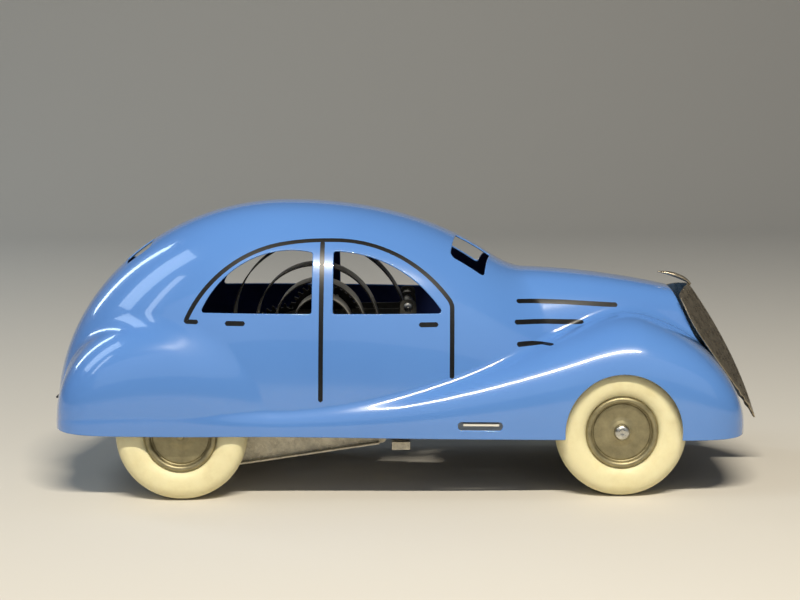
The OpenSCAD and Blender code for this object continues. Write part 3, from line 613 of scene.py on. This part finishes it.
def near_outline(flat, cut):
    """Which map points lie almost on a cut's outline."""
    edge = np.stack([cut.u * MAP_U, cut.v * MAP_V], -1)
    near = np.zeros(len(flat), bool)
    low, high = edge.min(0) - CUT_REACH, edge.max(0) + CUT_REACH
    box = np.where(((flat > low) & (flat < high)).all(1))[0]
    for k in range(0, len(box), BATCH):
        part = box[k:k + BATCH]
        gap = np.sqrt(((flat[part, None, :] - edge[None, :, :]) ** 2).sum(-1)).min(1)
        near[part[gap < CUT_GAP]] = True
    return near


def split_quads(lost):
    """The grid's quads, and which of them are in or beside a cut."""
    index = np.arange(len(lost)).reshape(GRID_U + 1, GRID_V + 1)
    a, b = index[:-1, :-1], index[1:, :-1]
    c, d = index[1:, 1:], index[:-1, 1:]
    quads = np.stack([a, b, c, d], -1).reshape(-1, 4)
    beside = lost[quads].any(1)
    # widen the band by a cell so that no thin slivers are left
    touched = np.zeros(len(lost), bool)
    touched[quads[beside].ravel()] = True
    return quads, beside | touched[quads].any(1)


def rim_edges(band, local):
    """Border edges of the band, kept so that the band meets the quads exactly."""
    sides = {}
    for quad in band:
        for k in range(4):
            pair = (quad[k], quad[(k + 1) % 4])
            key = (min(pair), max(pair))
            sides[key] = sides.get(key, 0) + 1
    return [(local[i], local[j]) for (i, j), n in sides.items() if n == 1 and i in local and j in local]


def fill_band(flat, ids, band, cuts):
    """Triangles between the band's grid points and the outlines.

    Gives the (u, v) of the points it adds, the triangles, and their middles on the map."""
    base = len(flat)
    points = [Vector(flat[i]) for i in ids]
    origin = list(ids)
    new_uv = []
    edges = []
    for cut in cuts:
        first = len(points)
        n = len(cut.u)
        for u, v in zip(cut.u, cut.v):
            points.append(Vector((u * MAP_U, v * MAP_V)))
            origin.append(base + len(new_uv))
            new_uv.append((u, v))
        last = n - 1 if cut.open else n
        edges += [(first + k, first + (k + 1) % n) for k in range(last)]
    edges += rim_edges(band, {g: k for k, g in enumerate(ids)})
    out = delaunay_2d_cdt(points, edges, [], 0, 1e-6)
    points, triangles, sources = out[0], out[2], out[3]
    number = []
    for point, source in zip(points, sources):
        if source:
            number.append(origin[source[0]])
        else:
            number.append(base + len(new_uv))
            new_uv.append((point[0] / MAP_U, point[1] / MAP_V))
    middle = np.array([[sum(points[i][axis] for i in t) / 3 for axis in (0, 1)] for t in triangles])
    return new_uv, [tuple(number[i] for i in t) for t in triangles], middle


def cell_of(places):
    """Number of the grid cell that holds each map point."""
    cell_u = np.clip((places[:, 0] / MAP_U * GRID_U).astype(int), 0, GRID_U - 1)
    cell_v = np.clip((places[:, 1] / MAP_V * GRID_V).astype(int), 0, GRID_V - 1)
    return cell_u * GRID_V + cell_v


def build_skin():
    """The cut skin as u, v arrays and faces: quads, with a fitted band of triangles at each cut."""
    us = np.linspace(0, 1, GRID_U + 1)
    vs = np.linspace(0, 1, GRID_V + 1)
    gu, gv = (g.ravel() for g in np.meshgrid(us, vs, indexing="ij"))
    p = skin(gu, gv)
    flat = np.stack([gu * MAP_U, gv * MAP_V], -1)
    cuts = all_cuts()
    lost = np.zeros(len(p), bool)
    for cut in cuts:
        lost |= cut.holds(p) | near_outline(flat, cut)
    quads, beside = split_quads(lost)
    band = quads[beside]
    wanted = np.zeros(len(p), bool)
    wanted[band.ravel()] = True
    new_uv, triangles, middle = fill_band(flat, np.where(wanted & ~lost)[0], band, cuts)
    kept = beside[cell_of(middle)]
    middle_p = skin(middle[:, 0] / MAP_U, middle[:, 1] / MAP_V)
    for cut in cuts:
        kept &= ~cut.holds(middle_p)
    faces = [tuple(q) for q in quads[~beside]]
    faces += [t for t, good in zip(triangles, kept) if good]
    return np.vstack([np.stack([gu, gv], -1), np.array(new_uv)]), faces


def tidy_faces(p, faces):
    """Merges the points that fall together at the two ends and drops what nothing uses."""
    key = np.round(p * 2e4).astype(np.int64)
    _, first, inverse = np.unique(key, axis=0, return_index=True, return_inverse=True)
    inverse = inverse.ravel()
    out = []
    for f in faces:
        g = []
        for i in f:
            j = inverse[i]
            if j not in g:
                g.append(j)
        if len(g) > 2:
            out.append(g)
    used = np.unique(np.concatenate([np.array(f) for f in out]))
    new = np.full(len(first), -1)
    new[used] = np.arange(len(used))
    return first[used], [[new[i] for i in f] for f in out]


RIM_STEPS = 5


def unit(vectors):
    return vectors / (np.linalg.norm(vectors, axis=1, keepdims=True) + 1e-12)


def rolled_rim(p, n, faces):
    """Rows of points, their normals and the faces that round the sheet's edge at every opening."""
    once = {}
    for f in faces:
        for k in range(len(f)):
            once[(f[k], f[(k + 1) % len(f)])] = True
    open_edges = [e for e in once if (e[1], e[0]) not in once]
    ahead = dict(open_edges)
    behind = {j: i for i, j in open_edges}
    rim = [i for i in ahead if i in behind]
    rim_at = {i: k for k, i in enumerate(rim)}
    normal = n[rim]
    tangent = unit(p[[ahead[i] for i in rim]] - p[[behind[i] for i in rim]])
    out = unit(np.cross(tangent, normal))
    centre = p[rim] - normal * SHEET / 2
    rows, directions = [], []
    for k in range(1, RIM_STEPS):
        a = math.pi * k / RIM_STEPS
        direction = math.cos(a) * normal + math.sin(a) * out
        rows.append(centre + direction * SHEET / 2)
        directions.append(direction)

    def rim_vertex(k, i):
        if k == 0:
            return i
        if k == RIM_STEPS:
            return i + len(p)
        return 2 * len(p) + (k - 1) * len(rim) + rim_at[i]

    strips = [[rim_vertex(k, j), rim_vertex(k, i), rim_vertex(k + 1, i), rim_vertex(k + 1, j)]
              for i, j in open_edges if i in rim_at and j in rim_at
              for k in range(RIM_STEPS)]
    return rows, directions, strips


def body_shell():
    """The pressed shell: enamelled skin, inner face one sheet's thickness in, and rolled rims."""
    uv, faces = build_skin()
    p = skin(uv[:, 0], uv[:, 1])
    keep, faces = tidy_faces(p, faces)
    uv, p = uv[keep], p[keep]
    n = skin_normal(uv[:, 0], uv[:, 1])
    # a face's order is set so that it looks outwards
    corner = np.array([f[:3] for f in faces])
    looks = np.cross(p[corner[:, 1]] - p[corner[:, 0]], p[corner[:, 2]] - p[corner[:, 0]])
    flip = (looks * n[corner].sum(1)).sum(1) < 0
    faces = [f[::-1] if turn else f for f, turn in zip(faces, flip)]
    inner = [[i + len(p) for i in f][::-1] for f in faces]
    rows, directions, strips = rolled_rim(p, n, faces)
    points = to_car(np.vstack([p, p - SHEET * n] + rows)) * MM
    normals = turn_to_car(np.vstack([n, -n] + directions))
    piece = new_mesh("body_shell_skin", points, faces + inner + strips, ENAMEL, "chassis", "body_shell",
                     normals=normals)
    # the inner faces take the painted shade
    piece.data.materials.append(INNER_PAINTED_SHADE)
    for face in piece.data.polygons[len(faces):2 * len(faces)]:
        face.material_index = 1
    return piece

# ---------- printed lines ----------

LINE_W = 1.45
HANDLE_W = LINE_W + 0.1
LOUVRE_W = 1.65
LINE_LIFT = 0.03
# Half width of a line at its very tip
THINNEST = 0.02


def ribbon(path, width):
    """A thin strip of ink on the right side's skin along a side-view path, with round ends."""
    path = resample(np.array(path, float), 0.35, closed=False)
    for _ in range(2):
        path[1:-1] = (path[:-2] + 2 * path[1:-1] + path[2:]) / 4
    run = np.concatenate([[0], np.cumsum(np.linalg.norm(np.diff(path, axis=0), axis=1))])
    to_end = np.minimum(run, run[-1] - run)
    half = width / 2
    half_w = np.sqrt(np.maximum(half ** 2 - np.maximum(0, half - to_end) ** 2, THINNEST ** 2))
    # places across the line, as parts of its half width; its two edges dip into the skin
    lanes = np.array([-1, -0.96, -0.5, 0, 0.5, 0.96, 1])
    lift = np.array([-0.03, 1, 1, 1, 1, 1, -0.03]) * LINE_LIFT
    u = unstation(path[:, 0])
    v = solve_v(path[:, 0], path[:, 1], height=True)
    middle = skin(u, v)
    along = np.gradient(middle, axis=0)
    across = np.cross(skin_normal(u, v), along)
    across /= np.linalg.norm(across, axis=1, keepdims=True)
    # the skin's own slopes turn a step across the line into a step in (u, v)
    step = 1e-4
    by_u = (skin(u + step, v) - skin(u - step, v)) / (2 * step)
    by_v = (skin(u, v + step) - skin(u, v - step)) / (2 * step)
    uu, uv, vv = (by_u * by_u).sum(1), (by_u * by_v).sum(1), (by_v * by_v).sum(1)
    want_u, want_v = (by_u * across).sum(1), (by_v * across).sum(1)
    area_squared = uu * vv - uv * uv
    du = (vv * want_u - uv * want_v) / area_squared
    dv = (uu * want_v - uv * want_u) / area_squared
    reach = half_w[:, None] * lanes
    u = u[:, None] + du[:, None] * reach
    v = v[:, None] + dv[:, None] * reach
    p = skin(u, v)
    n = skin_normal(u, v)
    p = p + n * lift[None, :, None]
    rows, cols = u.shape
    faces = [(i * cols + j, (i + 1) * cols + j, (i + 1) * cols + j + 1, i * cols + j + 1)
             for i in range(rows - 1) for j in range(cols - 1)]
    return p.reshape(-1, 3), n.reshape(-1, 3), faces


# Arch over the side windows, as two circles in side view that blend at the crown
ARCH_LINE_REAR = (-31.0, 19.5)
ARCH_LINE_FRONT = (-21.2, 14.0)
ARCH_LINE_R = (39.05, 45.1)
CROWN_X = (-44.0, -12.0)
FOOT_Z = 34.5
DOOR_FRONT_X = 15.0
PILLAR_X = -25.0


def arch_line():
    """From the rear foot, over both windows and down the door's front edge."""
    rear, front = ARCH_LINE_REAR, ARCH_LINE_FRONT
    rear_r, front_r = ARCH_LINE_R
    foot = 180 - math.degrees(math.asin((FOOT_Z - rear[1]) / rear_r))
    rear_end = math.degrees(math.acos((CROWN_X[0] - rear[0]) / rear_r))
    front_start = math.degrees(math.acos((CROWN_X[1] - front[0]) / front_r))
    front_end = math.degrees(math.acos((DOOR_FRONT_X - front[0]) / front_r))
    x = np.linspace(*CROWN_X, 60)
    crown = smooth_max(rear[1] + np.sqrt(rear_r ** 2 - (x - rear[0]) ** 2),
                       front[1] + np.sqrt(front_r ** 2 - (x - front[0]) ** 2), 2.0)
    return np.vstack([[(-63, FOOT_Z)], arc_points(rear, rear_r, foot, rear_end),
                      np.stack([x, crown], -1), arc_points(front, front_r, front_start, front_end),
                      [(15.6, 39.4)], [(15.6, 17.4)]])


def printed_lines():
    """Arch, door pillar, two handles and three louvre lines, on both sides.

    Known fault: on the left the pillar's line also crosses the key's hole and the key's shaft."""
    lines = [
        (arch_line(), LINE_W),
        ([(PILLAR_X, 58.9), (PILLAR_X, 10.4)], LINE_W),
        ([(-54.7, 34.3), (-48.4, 34.3)], HANDLE_W),
        ([(5.2, 34.0), (11.3, 34.0)], HANDLE_W),
        ([(36.2, 39.8), (52, 39.2), (69, 38.1)], LOUVRE_W),
        ([(35.4, 33.8), (57.8, 33.1)], LOUVRE_W),
        ([(36.0, 27.2), (47.4, 27.4)], LOUVRE_W),
    ]
    verts, normals, faces = [], [], []
    count = 0
    for path, width in lines:
        p, n, f = ribbon(path, width)
        for side in (1, -1):
            flip = np.array([1, side, 1])
            verts.append(p * flip)
            normals.append(n * flip)
            faces += [[i + count for i in (g if side > 0 else g[::-1])] for g in f]
            count += len(p)
    v = to_car(np.vstack(verts)) * MM
    return new_mesh("printed_lines", v, faces, INK, "chassis",
                    normals=turn_to_car(np.vstack(normals)))


# ---------- turned and stamped pieces ----------

def turned(section, axle, steps, closed):
    """Points and faces of a (radius, y) section turned about an axle across the car."""
    n = len(section)
    verts = []
    for k in range(steps):
        a = 2 * math.pi * k / steps
        for r, y in section:
            verts.append(((axle[0] + r * math.cos(a)) * MM, y * MM, (axle[1] + r * math.sin(a)) * MM))
    faces = []
    for k in range(steps):
        here, there = k * n, (k + 1) % steps * n
        for j in range(n if closed else n - 1):
            after = (j + 1) % n
            faces.append((here + j, here + after, there + after, there + j))
    return verts, faces


def revolve(name, section, axle, side, mat, body, node, steps=160):
    """Turns a closed (radius, distance outwards from the wheel's middle) section into a ring."""
    placed = [(r, side * (WHEEL_Y + d)) for r, d in section]
    verts, faces = turned(placed, axle, steps, True)
    if side > 0:
        faces = [f[::-1] for f in faces]
    piece = new_mesh(name, verts, faces, mat, body, node)
    return face_out(piece)


def face_out(piece):
    """Makes every face of a closed mesh look outwards."""
    bm = bmesh.new()
    bm.from_mesh(piece.data)
    bmesh.ops.remove_doubles(bm, verts=bm.verts, dist=1e-7)
    bmesh.ops.recalc_face_normals(bm, faces=bm.faces)
    bm.to_mesh(piece.data)
    bm.free()
    return piece


def tyre_section():
    middle, half_h, power = 15.5, 5.0, 2 / 2.6
    pts = []
    for k in range(72):
        a = 2 * math.pi * k / 72
        c, s = math.cos(a), math.sin(a)
        pts.append((middle + half_h * math.copysign(abs(c) ** power, c),
                    TYRE_W / 2 * math.copysign(abs(s) ** power, s)))
    return [(max(r, 11.02), d) for r, d in pts]


def hub_section(bore):
    ring = [(10.3 - 0.92 * math.cos(a), 3.92 + 0.92 * math.sin(a))
            for a in np.radians(np.arange(0, 181, 15))]
    outline = [(bore, -5.8, 0.2), (3, -5.8, 0.3), (3, 2.3, 0.3), (8.9, 2.3, 0.3), (10.3, 2.6, 0.3),
               (10.3, -3.9, 0.3), (9.9, -4.2, 0.1), (10.0, -4.7, 0.15), (11.2, -4.7, 0.2),
               (11.2, -4.1, 0.1), (11, -3.8, 0.1), (11, 3.7, 0.1)]
    outline += [(r, d, 0) for r, d in ring[::-1]]
    outline += [(9.45, 3.2, 0.12), (9.1, 2.75, 0.25), (8.7, 3.05, 0.2), (4.6, 3.0, 0.5),
                (3.6, 3.25, 0.4), (2.7, 3.6, 0.2), (bore, 3.6, 0.1)]
    return closed_line(outline, 0.5, 4)


def wheels():
    for axle, end, body_name, bore in ((FRONT_AXLE, "front", "front_{}_wheel", AXLE_R + 0.06),
                                       (REAR_AXLE, "rear", "rear_wheels", AXLE_R)):
        for side, hand in ((1, "left"), (-1, "right")):
            body = body_name.format(hand)
            revolve(f"{end}_{hand}_tyre_rubber", tyre_section(), axle, side, RUBBER, body,
                    f"{end}_{hand}_tyre", 192)
            revolve(f"{end}_{hand}_hub_stamping", hub_section(bore), axle, side, HUB, body,
                    f"{end}_{hand}_hub", 160)


def front_axle():
    """A plain rod with a domed head on each end, standing just outside the hubs."""
    reach = 38.35
    head = [(2.5, 0), (2.5, 0.25), (2.38, 0.65), (2.1, 1.0), (1.7, 1.25), (1.1, 1.42), (0.55, 1.46),
            (0.35, 1.34), (0.12, 1.3), (0.0, 1.3)]
    half = [(0.0, 0.0), (AXLE_R, 0.0), (AXLE_R, reach - 0.02), (AXLE_R + 0.05, reach)]
    half += [(r, reach + d) for r, d in head]
    return rod("front_axle_rod", half, FRONT_AXLE, "front_axle", "chassis")


def rear_axle():
    """A round-ended rod; it has the hubs' finish, to match the photograph."""
    reach = 38.6
    half = [(0.0, 0.0), (AXLE_R, 0.0), (AXLE_R, reach - 0.1)]
    half += [(AXLE_R * math.cos(a), reach + 0.6 * math.sin(a)) for a in np.radians(np.arange(0, 91, 15))]
    piece = rod("rear_axle_rod", half, REAR_AXLE, "rear_axle", "rear_wheels")
    piece.data.materials[0] = HUB
    return piece


def rod(name, half, axle, node, body, steps=64):
    """A turned rod across the car, the same at both ends; half is (radius, |y|) from the middle."""
    section = [(r, -y) for r, y in half[::-1]] + [(r, y) for r, y in half]
    verts, faces = turned(section, axle, steps, False)
    piece = new_mesh(name, verts, faces, AXLE, body, node)
    return face_out(piece)


# ---------- grille and ornament ----------

GRILLE_TIP_Z = -1.8
GRILLE_H = 44.8
GRILLE_HALF_W = 16.5
GRILLE_T = 0.6


def ridge_x(z):
    return 117.6 - 0.334 * z - 0.00467 * z * z


def shield_half_w(v):
    base = 0.7 + (GRILLE_HALF_W - 0.7) * np.sin(np.radians(90 * np.minimum(1, v / 0.8)))
    steps = 0.35 * np.sin(v * 2 * np.pi * 16) * ease(v, 0.02, 0.06) * (1 - ease(v, 0.22, 0.3))
    return base - 1.5 * ease(v, 0.82, 1) + steps


def shield(v, w, back):
    """A point of the shield; v runs up it and w across it from -1 to 1."""
    y = w * shield_half_w(v)
    z = GRILLE_TIP_Z + GRILLE_H * v - 3 * v * w * w * ease(v, 0.7, 1)
    sweep = np.sqrt((0.6 * y) ** 2 + 2.25) - 1.5
    nose = 88 + 0.45 * (42 - z)
    x = smooth_max(ridge_x(z) - sweep, nose + GRILLE_T + 0.4, 1) - back
    return np.stack([x, y, z], -1)


def radiator_grille():
    """The shield: a plain rim, a raised ridge, and rows of upright ribs between them."""
    rows, cols = 150, 260
    v = np.linspace(0, 1, rows + 1)[:, None] + np.zeros((1, cols + 1))
    w = np.linspace(-1, 1, cols + 1)[None, :] + np.zeros((rows + 1, 1))
    y = w * shield_half_w(v)
    border = np.minimum((1 - np.abs(w)) * shield_half_w(v), (1 - v) * GRILLE_H * 0.9)
    field = ease(border, 1.1, 1.5) * ease(np.abs(y), 1.0, 1.3) * ease(v, 0.1, 0.14)
    rib = 0.5 - 0.5 * np.cos(2 * np.pi * np.abs(y) / 2.1)
    depth = 0.34 * field * rib
    front = shield(v, w, 0.02 + depth)
    back = shield(v, w, GRILLE_T + 0 * v)
    p = np.vstack([front.reshape(-1, 3), back.reshape(-1, 3)])
    n = cols + 1
    size = (rows + 1) * n
    faces = []
    for i in range(rows):
        for j in range(cols):
            a = i * n + j
            faces.append((a, a + n, a + n + 1, a + 1))
            faces.append((size + a, size + a + 1, size + a + n + 1, size + a + n))
    for i in range(rows):
        for j in (0, cols):
            a, b = i * n + j, (i + 1) * n + j
            faces.append((a, b, size + b, size + a))
    for j in range(cols):
        for i in (0, rows):
            a = i * n + j
            faces.append((a, a + 1, size + a + 1, size + a))
    piece = new_mesh("grille_shield", to_car(p) * MM, faces, NICKEL, "chassis", "radiator_grille")
    return face_out(piece)


# The ornament's blade: places along it in side view, with half its width and thickness at each
BLADE_LINE = [(95.0, 42.9), (94.0, 43.9), (92.3, 44.9), (89.9, 45.8), (87.3, 46.5), (84.2, 46.8)]
BLADE_HALF_W = [1.6, 1.6, 1.55, 1.5, 1.2, 0.35]
BLADE_HALF_T = [0.35, 0.55, 0.75, 0.75, 0.6, 0.2]
BLADE_ROWS = 41
BLADE_RING = 24


def bonnet_ornament():
    """A blade that leaves the top of the shield and sweeps back over the bonnet to a point."""
    given = range(len(BLADE_LINE))
    fine = np.linspace(0, len(BLADE_LINE) - 1, BLADE_ROWS)
    x, z = (np.interp(fine, given, values) for values in zip(*BLADE_LINE))
    for line in (x, z):
        for _ in range(6):
            line[1:-1] = (line[:-2] + 2 * line[1:-1] + line[2:]) / 4
    half_w = np.interp(fine, given, BLADE_HALF_W)
    half_t = np.interp(fine, given, BLADE_HALF_T)
    last = BLADE_ROWS - 1
    verts, faces = [], []
    for i in range(BLADE_ROWS):
        before, after = max(i - 1, 0), min(i + 1, last)
        along = np.array([x[after] - x[before], z[after] - z[before]])
        along /= np.linalg.norm(along)
        up = np.array([-along[1], along[0]]) * (1 if -along[0] > 0 else -1)
        for k in range(BLADE_RING):
            a = 2 * math.pi * k / BLADE_RING
            s, c = math.sin(a), math.cos(a)
            q = math.copysign(abs(s) ** 0.9, s) * half_t[i] * up
            verts.append((x[i] + q[0], half_w[i] * c, z[i] + q[1]))
    for i in range(last):
        here, there = i * BLADE_RING, (i + 1) * BLADE_RING
        for k in range(BLADE_RING):
            after = (k + 1) % BLADE_RING
            faces.append((here + k, here + after, there + after, there + k))
    faces.append(tuple(range(BLADE_RING)))
    faces.append(tuple(last * BLADE_RING + k for k in range(BLADE_RING)))
    piece = new_mesh("bonnet_ornament_blade", to_car(np.array(verts)) * MM, faces, NICKEL, "chassis",
                     "bonnet_ornament")
    return face_out(piece)


# ---------- mainspring ----------

SPRING_TURNS = 4.5
SPRING_INNER_R = 2.9
SPRING_OUTER_R = 25.9
# How far the last part swings outwards, and the whole coil moves back over its length
SPRING_REACH = 5.0
SPRING_SHIFT = 4.0
SPRING_END_ANGLE = 13
SPRING_HALF_W = 6.0
SPRING_HALF_T = 0.2
SPRING_Y = -11
SPRING_STEPS = 900


def mainspring():
    """Loose turns of strip steel; the last part swings out to the post at the front of the cabin."""
    t = np.linspace(0, 1, SPRING_STEPS + 1)
    r = SPRING_INNER_R + (SPRING_OUTER_R - SPRING_INNER_R) * t + SPRING_REACH * t ** 12
    a = np.radians(SPRING_END_ANGLE + (1 - t) * SPRING_TURNS * 360)
    line = np.stack([ARBOR[0] + r * np.cos(a) - SPRING_SHIFT * t, ARBOR[1] + r * np.sin(a)], -1)
    along = np.gradient(line, axis=0)
    along /= np.linalg.norm(along, axis=1, keepdims=True)
    out = np.stack([along[:, 1], -along[:, 0]], -1)
    ends = [(-1, -1), (1, -1), (1, 1), (-1, 1)]
    section = closed_line([(s * SPRING_HALF_T, w * SPRING_HALF_W, 0.15) for s, w in ends], 4.0, 3)
    n = len(section)
    verts = []
    for p, q in zip(line, out):
        for s, w in section:
            verts.append(((p[0] + q[0] * s) * MM, (SPRING_Y + w) * MM, (p[1] + q[1] * s) * MM))
    faces = [(i * n + j, i * n + (j + 1) % n, (i + 1) * n + (j + 1) % n, (i + 1) * n + j)
             for i in range(SPRING_STEPS) for j in range(n)]
    faces.append(tuple(range(n)))
    faces.append(tuple(SPRING_STEPS * n + k for k in range(n)))
    piece = new_mesh("mainspring_coil", verts, faces, SPRING, "chassis", "mainspring")
    # the strip's faces keep the spring steel; its two sides, facing along y, get painted shade
    piece.data.materials.append(SPRING_SIDE_SHADE)
    for face in piece.data.polygons:
        face.material_index = 1 if abs(face.normal.y) > 0.3 else 0
    return face_out(piece)


# ---------- pieces that come straight from the CAD ----------

EDGE_BREAK = 0.08
CAD_FINISHES = {
    "base_plate": PLATE_PAINTED_SHADE, "plate_rivets": AXLE, "motor_plate_right": ZINC,
    "motor_plate_middle": ZINC, "motor_plate_left": ZINC, "plate_pillars": AXLE,
    "stop_lever": ZINC, "stop_lever_rivet": AXLE, "spring_arbor": AXLE,
    "ratchet_wheel": BRASS, "winding_key": NICKEL, "great_wheel": GEAR_PAINTED_SHADE,
    "click": SPRING, "click_rivet": AXLE, "click_spring": SPRING,
    "second_pinion": AXLE, "second_wheel": GEAR_PAINTED_SHADE, "third_pinion": AXLE,
    "third_wheel": BRASS, "axle_pinion": BRASS,
}


def finish_cad_pieces():
    """Gives each CAD node its material and a slightly broken edge."""
    for name, finish in CAD_FINISHES.items():
        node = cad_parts[name]
        node.data.materials.clear()
        node.data.materials.append(finish)
        add_bevel(node, EDGE_BREAK)


body_shell()
printed_lines()
wheels()
front_axle()
rear_axle()
radiator_grille()
bonnet_ornament()
mainspring()
finish_cad_pieces()


# ---------- stage, light and camera ----------

def stage():
    """A paper sweep: a flat floor that curves up into a wall behind the car."""
    front_y, curve_y, curve_r, wall_h, half_w = -4.0, 0.75, 0.6, 0.7, 2.6
    profile = [(front_y, 0.0), (curve_y, 0.0)]
    profile += [(curve_y + curve_r * math.sin(a), curve_r * (1 - math.cos(a)))
                for a in np.radians(np.arange(3, 91, 3))]
    profile.append((curve_y + curve_r, wall_h))
    verts = [(x, y, z) for y, z in profile for x in (-half_w, half_w)]
    faces = [(2 * k, 2 * k + 1, 2 * k + 3, 2 * k + 2) for k in range(len(profile) - 1)]
    sweep = bpy.data.meshes.new("paper_sweep")
    sweep.from_pydata(verts, [], faces)
    sweep.polygons.foreach_set("use_smooth", [True] * len(faces))
    obj = bpy.data.objects.new("paper_sweep", sweep)
    bpy.context.scene.collection.objects.link(obj)
    m = material("paper", (0.625, 0.59, 0.53), 0.9)
    grain = noise(m, 60, 4)
    bump(m, grain, "Fac", 0.1, 0.0004)
    sweep.materials.append(m)


def lamp_at(name, az, el, distance, size, size_y, power, colour):
    """An area lamp seen from the car at az degrees from the right side towards the nose."""
    a, e = math.radians(az), math.radians(el)
    aim = Vector((0, 0, 0.045))
    at = aim + distance * Vector((math.sin(a) * math.cos(e), -math.cos(a) * math.cos(e), math.sin(e)))
    return area(name, at, aim, size, size_y, power, colour)


def area(name, at, target, size, size_y, power, colour=(1, 1, 1)):
    light = bpy.data.lights.new(name, "AREA")
    light.shape = "RECTANGLE"
    light.size = size
    light.size_y = size_y
    light.energy = power
    light.color = colour
    obj = bpy.data.objects.new(name, light)
    obj.location = at
    obj.rotation_euler = (Vector(target) - Vector(at)).to_track_quat("-Z", "Y").to_euler()
    bpy.context.scene.collection.objects.link(obj)
    return obj


# The camera's place in metres, and its tilt and roll in degrees
CAMERA_AT = (0, -0.5318, 0.1337)
CAMERA_DOWN = 8.2
CAMERA_ROLL = -0.52
LENS = 73.2
SENSOR_W = 36


def camera():
    """The photograph's viewing angle: square to the right side, looking a little down."""
    cam = bpy.data.cameras.new("camera")
    cam.sensor_width = SENSOR_W
    cam.lens = LENS
    obj = bpy.data.objects.new("camera", cam)
    obj.matrix_world = (Matrix.Translation(CAMERA_AT)
                        @ Matrix.Rotation(math.radians(90 - CAMERA_DOWN), 4, "X")
                        @ Matrix.Rotation(math.radians(CAMERA_ROLL), 4, "Z"))
    bpy.context.scene.collection.objects.link(obj)
    bpy.context.scene.camera = obj


stage()
world = bpy.data.worlds.new("world")
world.use_nodes = True
world.node_tree.nodes["Background"].inputs["Color"].default_value = (0.70, 0.80, 1.0, 1)
world.node_tree.nodes["Background"].inputs["Strength"].default_value = 0.06
bpy.context.scene.world = world
bpy.context.scene.view_settings.view_transform = "Standard"
# a long tube lamp above the camera, parallel to the car: it draws the thin lines on the fender
area("tube", (0.05, -0.47, 0.655), (0.05, 0, 0.04), 0.40, 0.012, 7.3, (1.0, 0.925, 0.78))
lamp_at("front_card", 8, 28, 2.4, 4.8, 1.4, 9.5, (0.96, 0.98, 1.0))
lamp_at("tail_window", -122, 31, 1.3, 0.12, 0.70, 2.4, (0.70, 0.85, 1.0))
lamp_at("side_window", -80, 43, 1.3, 0.36, 0.66, 2.8, (0.72, 0.86, 1.0))
lamp_at("side_strip", -55, 36, 1.3, 0.10, 0.45, 0.6, (0.84, 0.92, 1.0))
camera()
